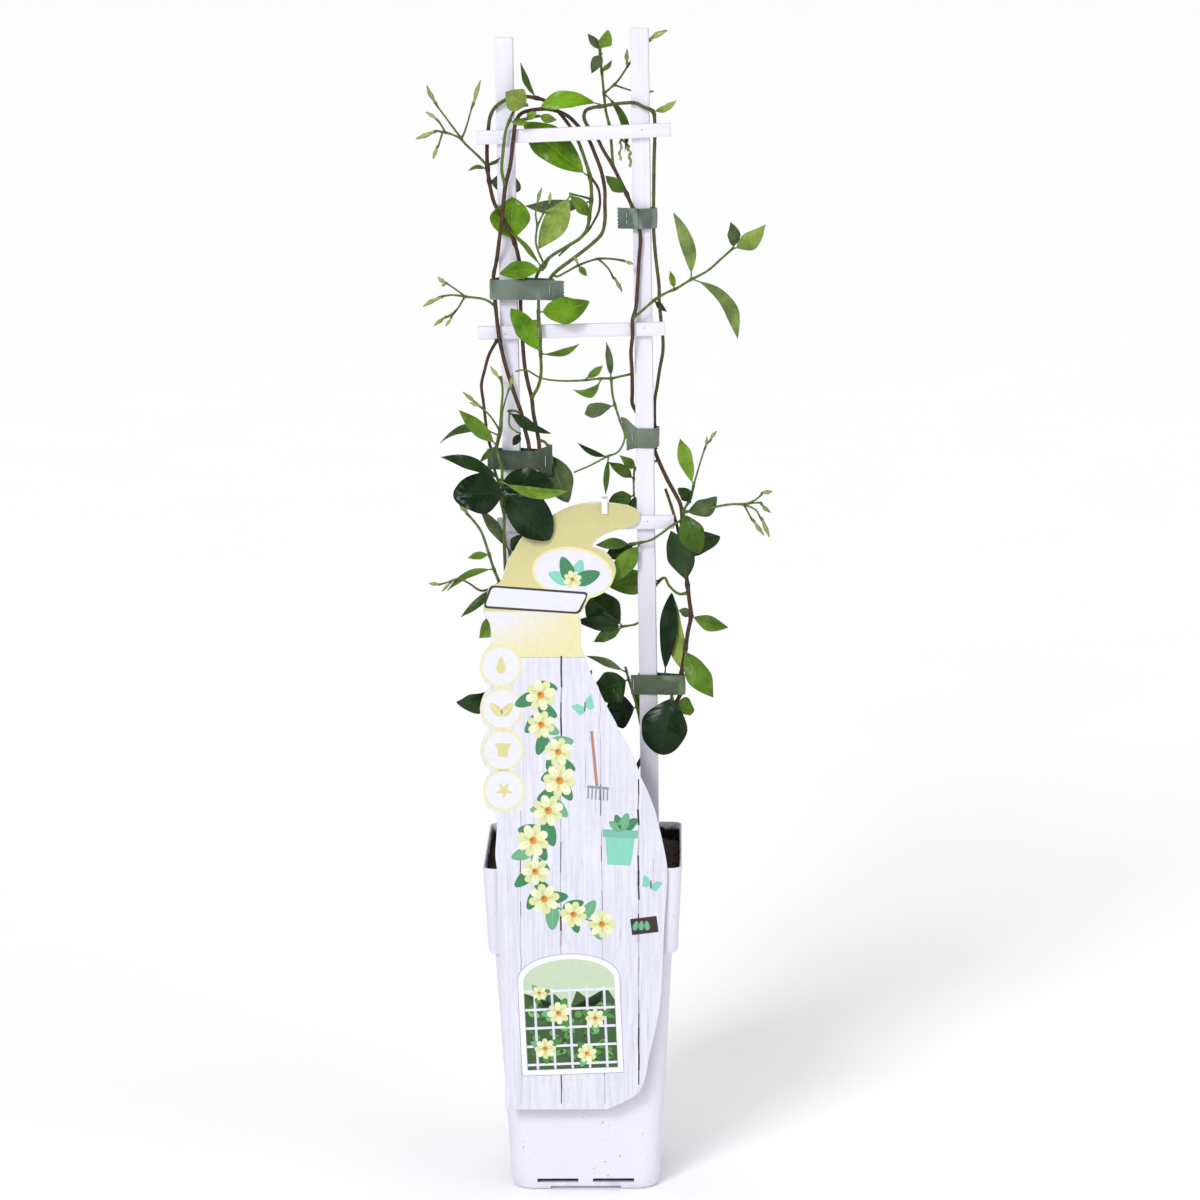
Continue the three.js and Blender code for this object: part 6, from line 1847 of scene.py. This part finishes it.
def bud_finish():
    """Grooved green, yellower in patches, browner at the tip and on the calyx."""
    made = Shader("bud_skin")
    k, t, _ = made.axes(made.attribute("place"))
    shade = made.attribute("tint", "Alpha")
    cloud = made.noise(made.place(), 500, 3)
    colour = made.mix(made.ramp(cloud + shade * 0.4, 0.4, 0.9), BUD_GREEN, BUD_YELLOW)
    tip = made.ramp(t, 0.72, 1.0)
    colour = made.mix(tip * 0.5, colour, BUD_TIP)
    calyx = made.ramp(0.2 - t, 0.0, 0.05)
    colour = made.mix(calyx * 0.8, colour, CALYX_BROWN)
    groove = abs((k * 5).fraction() - 0.5) * 2
    bump = made.bump(groove + cloud, 0.3 * MM, 0.7)
    return made.set(Base_Color=colour, Roughness=0.42 + cloud * 0.1, Normal=bump)


def card_finish(front):
    """Coated card: creamy board at its edges, a little handled."""
    made = Shader("card_front" if front else "card_back")
    fibre = made.noise(made.place(), 900, 4, 0.6)
    colour = made.mix(fibre, CARD_EDGE if front else CARD_BOARD, CARD_PALE)
    return made.set(Base_Color=colour, Roughness=0.36 + fibre * 0.14, Normal=made.bump(fibre, 0.04 * MM))


def ink_finish():
    """Print on coated card: its colours a little uneven, like brushed paint on old boards."""
    made = Shader("card_ink")
    tint, place = made.attribute("tint", "Color"), made.place()
    cloud = made.noise(place, 350, 3)
    flat = made.attribute("tint", "Alpha")
    streaks = made.ramp(made.stretched_noise(place, (420, 0, 22), 4, 0.6), 0.34, 0.64)
    shade = made.mix(streaks * (1 - flat), WHITE, (0.87, 0.87, 0.89))
    colour = made.tinted(made.tinted(tint, shade), made.mix(cloud, (0.93,) * 3, (1.05,) * 3))
    return made.set(Base_Color=colour, Roughness=0.34 + cloud * 0.12, Normal=made.bump(cloud, 0.03 * MM))


def floor_finish():
    made = Shader("stage_floor")
    colour = made.mix(made.noise(made.place(), 6, 3), FLOOR_SHADE, FLOOR_WHITE)
    return made.set(Base_Color=colour, Roughness=0.85, Emission_Color=WHITE, Emission_Strength=0.05)


# ---- the stage ----
CAMERA_PLACE = (0.060, -2.800, 0.900)
CAMERA_TARGET = (0.011, 0.0, 0.358)
CAMERA_ROLL = math.radians(-0.5)
CAMERA_LENS = 141.3
REFLECTED_SKY = 0.12
FLOOR_DROP = 0.2 * MM
# place, width in degrees and strength
LIGHTS = {
    "key_light": ((-1.1, -2.4, 1.7), 15, 1.45),
    "gloss_light": ((-0.75, -2.8, 1.15), 9, 0.32),
    "fill_light": ((2.2, -1.6, 0.7), 50, 0.75),
    "top_light": ((0.1, 0.3, 3.0), 60, 0.9),
}


def floor_piece(width):
    """The floor, a hair under the pot's feet."""
    mesh = bpy.data.meshes.new("floor")
    reach = width / 2
    mesh.from_pydata([(-reach, -reach, 0), (reach, -reach, 0), (reach, reach, 0), (-reach, reach, 0)],
                     [], [(0, 1, 2, 3)])
    mesh.materials.append(floor_finish())
    floor = bpy.data.objects.new("floor", mesh)
    floor.location.z = -FLOOR_DROP
    bpy.context.scene.collection.objects.link(floor)


def make_camera():
    camera = bpy.data.objects.new("camera", bpy.data.cameras.new("camera"))
    camera.data.lens = CAMERA_LENS
    camera.data.sensor_width = 36
    ahead = Vector(CAMERA_TARGET) - Vector(CAMERA_PLACE)
    aimed = ahead.to_track_quat("-Z", "Y").to_matrix().to_4x4()
    camera.matrix_world = Matrix.Translation(CAMERA_PLACE) @ aimed @ Matrix.Rotation(CAMERA_ROLL, 4, "Z")
    bpy.context.scene.collection.objects.link(camera)
    bpy.context.scene.camera = camera


def far_light(name, place, width, strength):
    """A wide, far light that shines from a place towards the plant; width is its angle."""
    light = bpy.data.objects.new(name, bpy.data.lights.new(name, "SUN"))
    light.data.angle = math.radians(width)
    light.data.energy = strength
    light.location = place
    light.rotation_mode = "QUATERNION"
    light.rotation_quaternion = (-Vector(place)).to_track_quat("-Z", "Y")
    bpy.context.scene.collection.objects.link(light)


def pale_sky(fill):
    """A white surround that lights the plant with only a share of its brightness."""
    world = bpy.data.worlds.new("sky")
    world.use_nodes = True
    tree = world.node_tree
    sky = tree.nodes["Background"]
    sky.inputs["Color"].default_value = (1.0, 1.0, 1.0, 1.0)
    path = tree.nodes.new("ShaderNodeLightPath")
    shares = []
    for ray, strength in (("Is Glossy Ray", REFLECTED_SKY), ("Is Camera Ray", 1.0)):
        share = tree.nodes.new("ShaderNodeMapRange")
        share.inputs["To Min"].default_value = fill
        share.inputs["To Max"].default_value = strength
        tree.links.new(path.outputs[ray], share.inputs["Value"])
        shares.append(share)
    reflected, seen = shares
    tree.links.new(reflected.outputs["Result"], seen.inputs["To Min"])
    tree.links.new(seen.outputs["Result"], sky.inputs["Strength"])
    bpy.context.scene.world = world


# ---- the add-on ----
class PotSizes(bpy.types.PropertyGroup):
    seam_depth: bpy.props.FloatProperty(
        name="Mould line", description="Depth of the lines beside the collar's corners",
        default=0.25 * MM, unit="LENGTH")
    roughness: bpy.props.FloatProperty(
        name="Soil roughness", description="Height of the lumps in the compost",
        default=1.7 * MM, unit="LENGTH")
    crumbs: bpy.props.IntProperty(
        name="Crumbs", description="Loose crumbs on the compost", default=900)


class LadderLooks(bpy.types.PropertyGroup):
    paint: bpy.props.FloatVectorProperty(
        name="Paint", description="Colour of the ladder's paint", default=PAINT_WHITE, subtype="COLOR")
    worn: bpy.props.FloatVectorProperty(
        name="Thin paint", description="Colour where the paint is thin", default=PAINT_GREY, subtype="COLOR")


class StageSizes(bpy.types.PropertyGroup):
    floor: bpy.props.FloatProperty(
        name="Floor", description="Width of the floor", default=60.0, unit="LENGTH")
    fill: bpy.props.FloatProperty(
        name="Fill", description="Strength of the pale light from all round", default=0.38)


class JASMINE_OT_pot(bpy.types.Operator):
    """Make the pot and its compost"""
    bl_idname = "jasmine.pot"
    bl_label = "Pot and Soil"

    def execute(self, context):
        sizes = context.scene.jasmine_pot
        pot_piece(sizes, {"pot": pot_finish(False), "pot_inside": pot_finish(True)})
        soil_piece(sizes, soil_finish())
        return {"FINISHED"}


class JASMINE_OT_ladder(bpy.types.Operator):
    """Make the ladder's posts, rungs and brads"""
    bl_idname = "jasmine.ladder"
    bl_label = "Ladder"

    def execute(self, context):
        looks = context.scene.jasmine_ladder
        paint, rust = paint_finish(looks.paint, looks.worn), rust_finish()
        for name in POST_TOPS:
            post_piece(name, paint)
        for name in RUNGS:
            rung_piece(name, paint)
        nail_heads(rust)
        return {"FINISHED"}


class JASMINE_OT_card(bpy.types.Operator):
    """Make the label card with its print, and the peg that holds it"""
    bl_idname = "jasmine.card"
    bl_label = "Label Card"

    def execute(self, context):
        card_piece({"card": card_finish(True), "card_back": card_finish(False)})
        card_print(ink_finish())
        peg_piece(peg_finish())
        return {"FINISHED"}


class JASMINE_OT_plant(bpy.types.Operator):
    """Grow the stems, leaves and buds"""
    bl_idname = "jasmine.plant"
    bl_label = "Plant"

    def execute(self, context):
        skins = [bark_finish(), leaf_finish(), leaf_back_finish(), bud_finish()]
        for name in PLANT:
            plant_piece(name, skins)
        return {"FINISHED"}


class JASMINE_OT_ties(bpy.types.Operator):
    """Make the tying tapes and their staples"""
    bl_idname = "jasmine.ties"
    bl_label = "Ties"

    def execute(self, context):
        tape, wire = tape_finish(), staple_finish()
        for name, tie in TIES.items():
            tie_piece(name, tape)
            staple_piece(name.replace("tie", "staple"), tie, wire)
        return {"FINISHED"}


class JASMINE_OT_stage(bpy.types.Operator):
    """Make the floor, the lights and the camera"""
    bl_idname = "jasmine.stage"
    bl_label = "Stage"

    def execute(self, context):
        sizes = context.scene.jasmine_stage
        floor_piece(sizes.floor)
        pale_sky(sizes.fill)
        for name, (place, width, strength) in LIGHTS.items():
            far_light(name, place, width, strength)
        context.scene.view_settings.view_transform = "Standard"
        make_camera()
        return {"FINISHED"}


class JASMINE_PT_panel(bpy.types.Panel):
    """Lists the sizes, the looks and the pieces to make"""
    bl_idname = "JASMINE_PT_panel"
    bl_label = "Trained Jasmine"
    bl_space_type = "VIEW_3D"
    bl_region_type = "UI"
    bl_category = "Jasmine"

    def draw(self, context):
        for group, names in GROUPS.values():
            box = self.layout.box()
            for name in names:
                box.prop(getattr(context.scene, group), name)
        for maker in MAKERS:
            self.layout.operator(maker.bl_idname)


GROUPS = {
    PotSizes: ("jasmine_pot", ("seam_depth", "roughness", "crumbs")),
    LadderLooks: ("jasmine_ladder", ("paint", "worn")),
    StageSizes: ("jasmine_stage", ("floor", "fill")),
}
MAKERS = (JASMINE_OT_stage, JASMINE_OT_pot, JASMINE_OT_ladder, JASMINE_OT_card, JASMINE_OT_ties,
          JASMINE_OT_plant)


def register():
    for kind in (*GROUPS, *MAKERS, JASMINE_PT_panel):
        bpy.utils.register_class(kind)
    for kind, (group, _) in GROUPS.items():
        setattr(bpy.types.Scene, group, bpy.props.PointerProperty(type=kind))


def unregister():
    for group, _ in GROUPS.values():
        delattr(bpy.types.Scene, group)
    for kind in (*GROUPS, *MAKERS, JASMINE_PT_panel):
        bpy.utils.unregister_class(kind)


def main():
    register()
    for maker in MAKERS:
        family, name = maker.bl_idname.split(".")
        getattr(getattr(bpy.ops, family), name)()


if __name__ == "__main__":
    main()
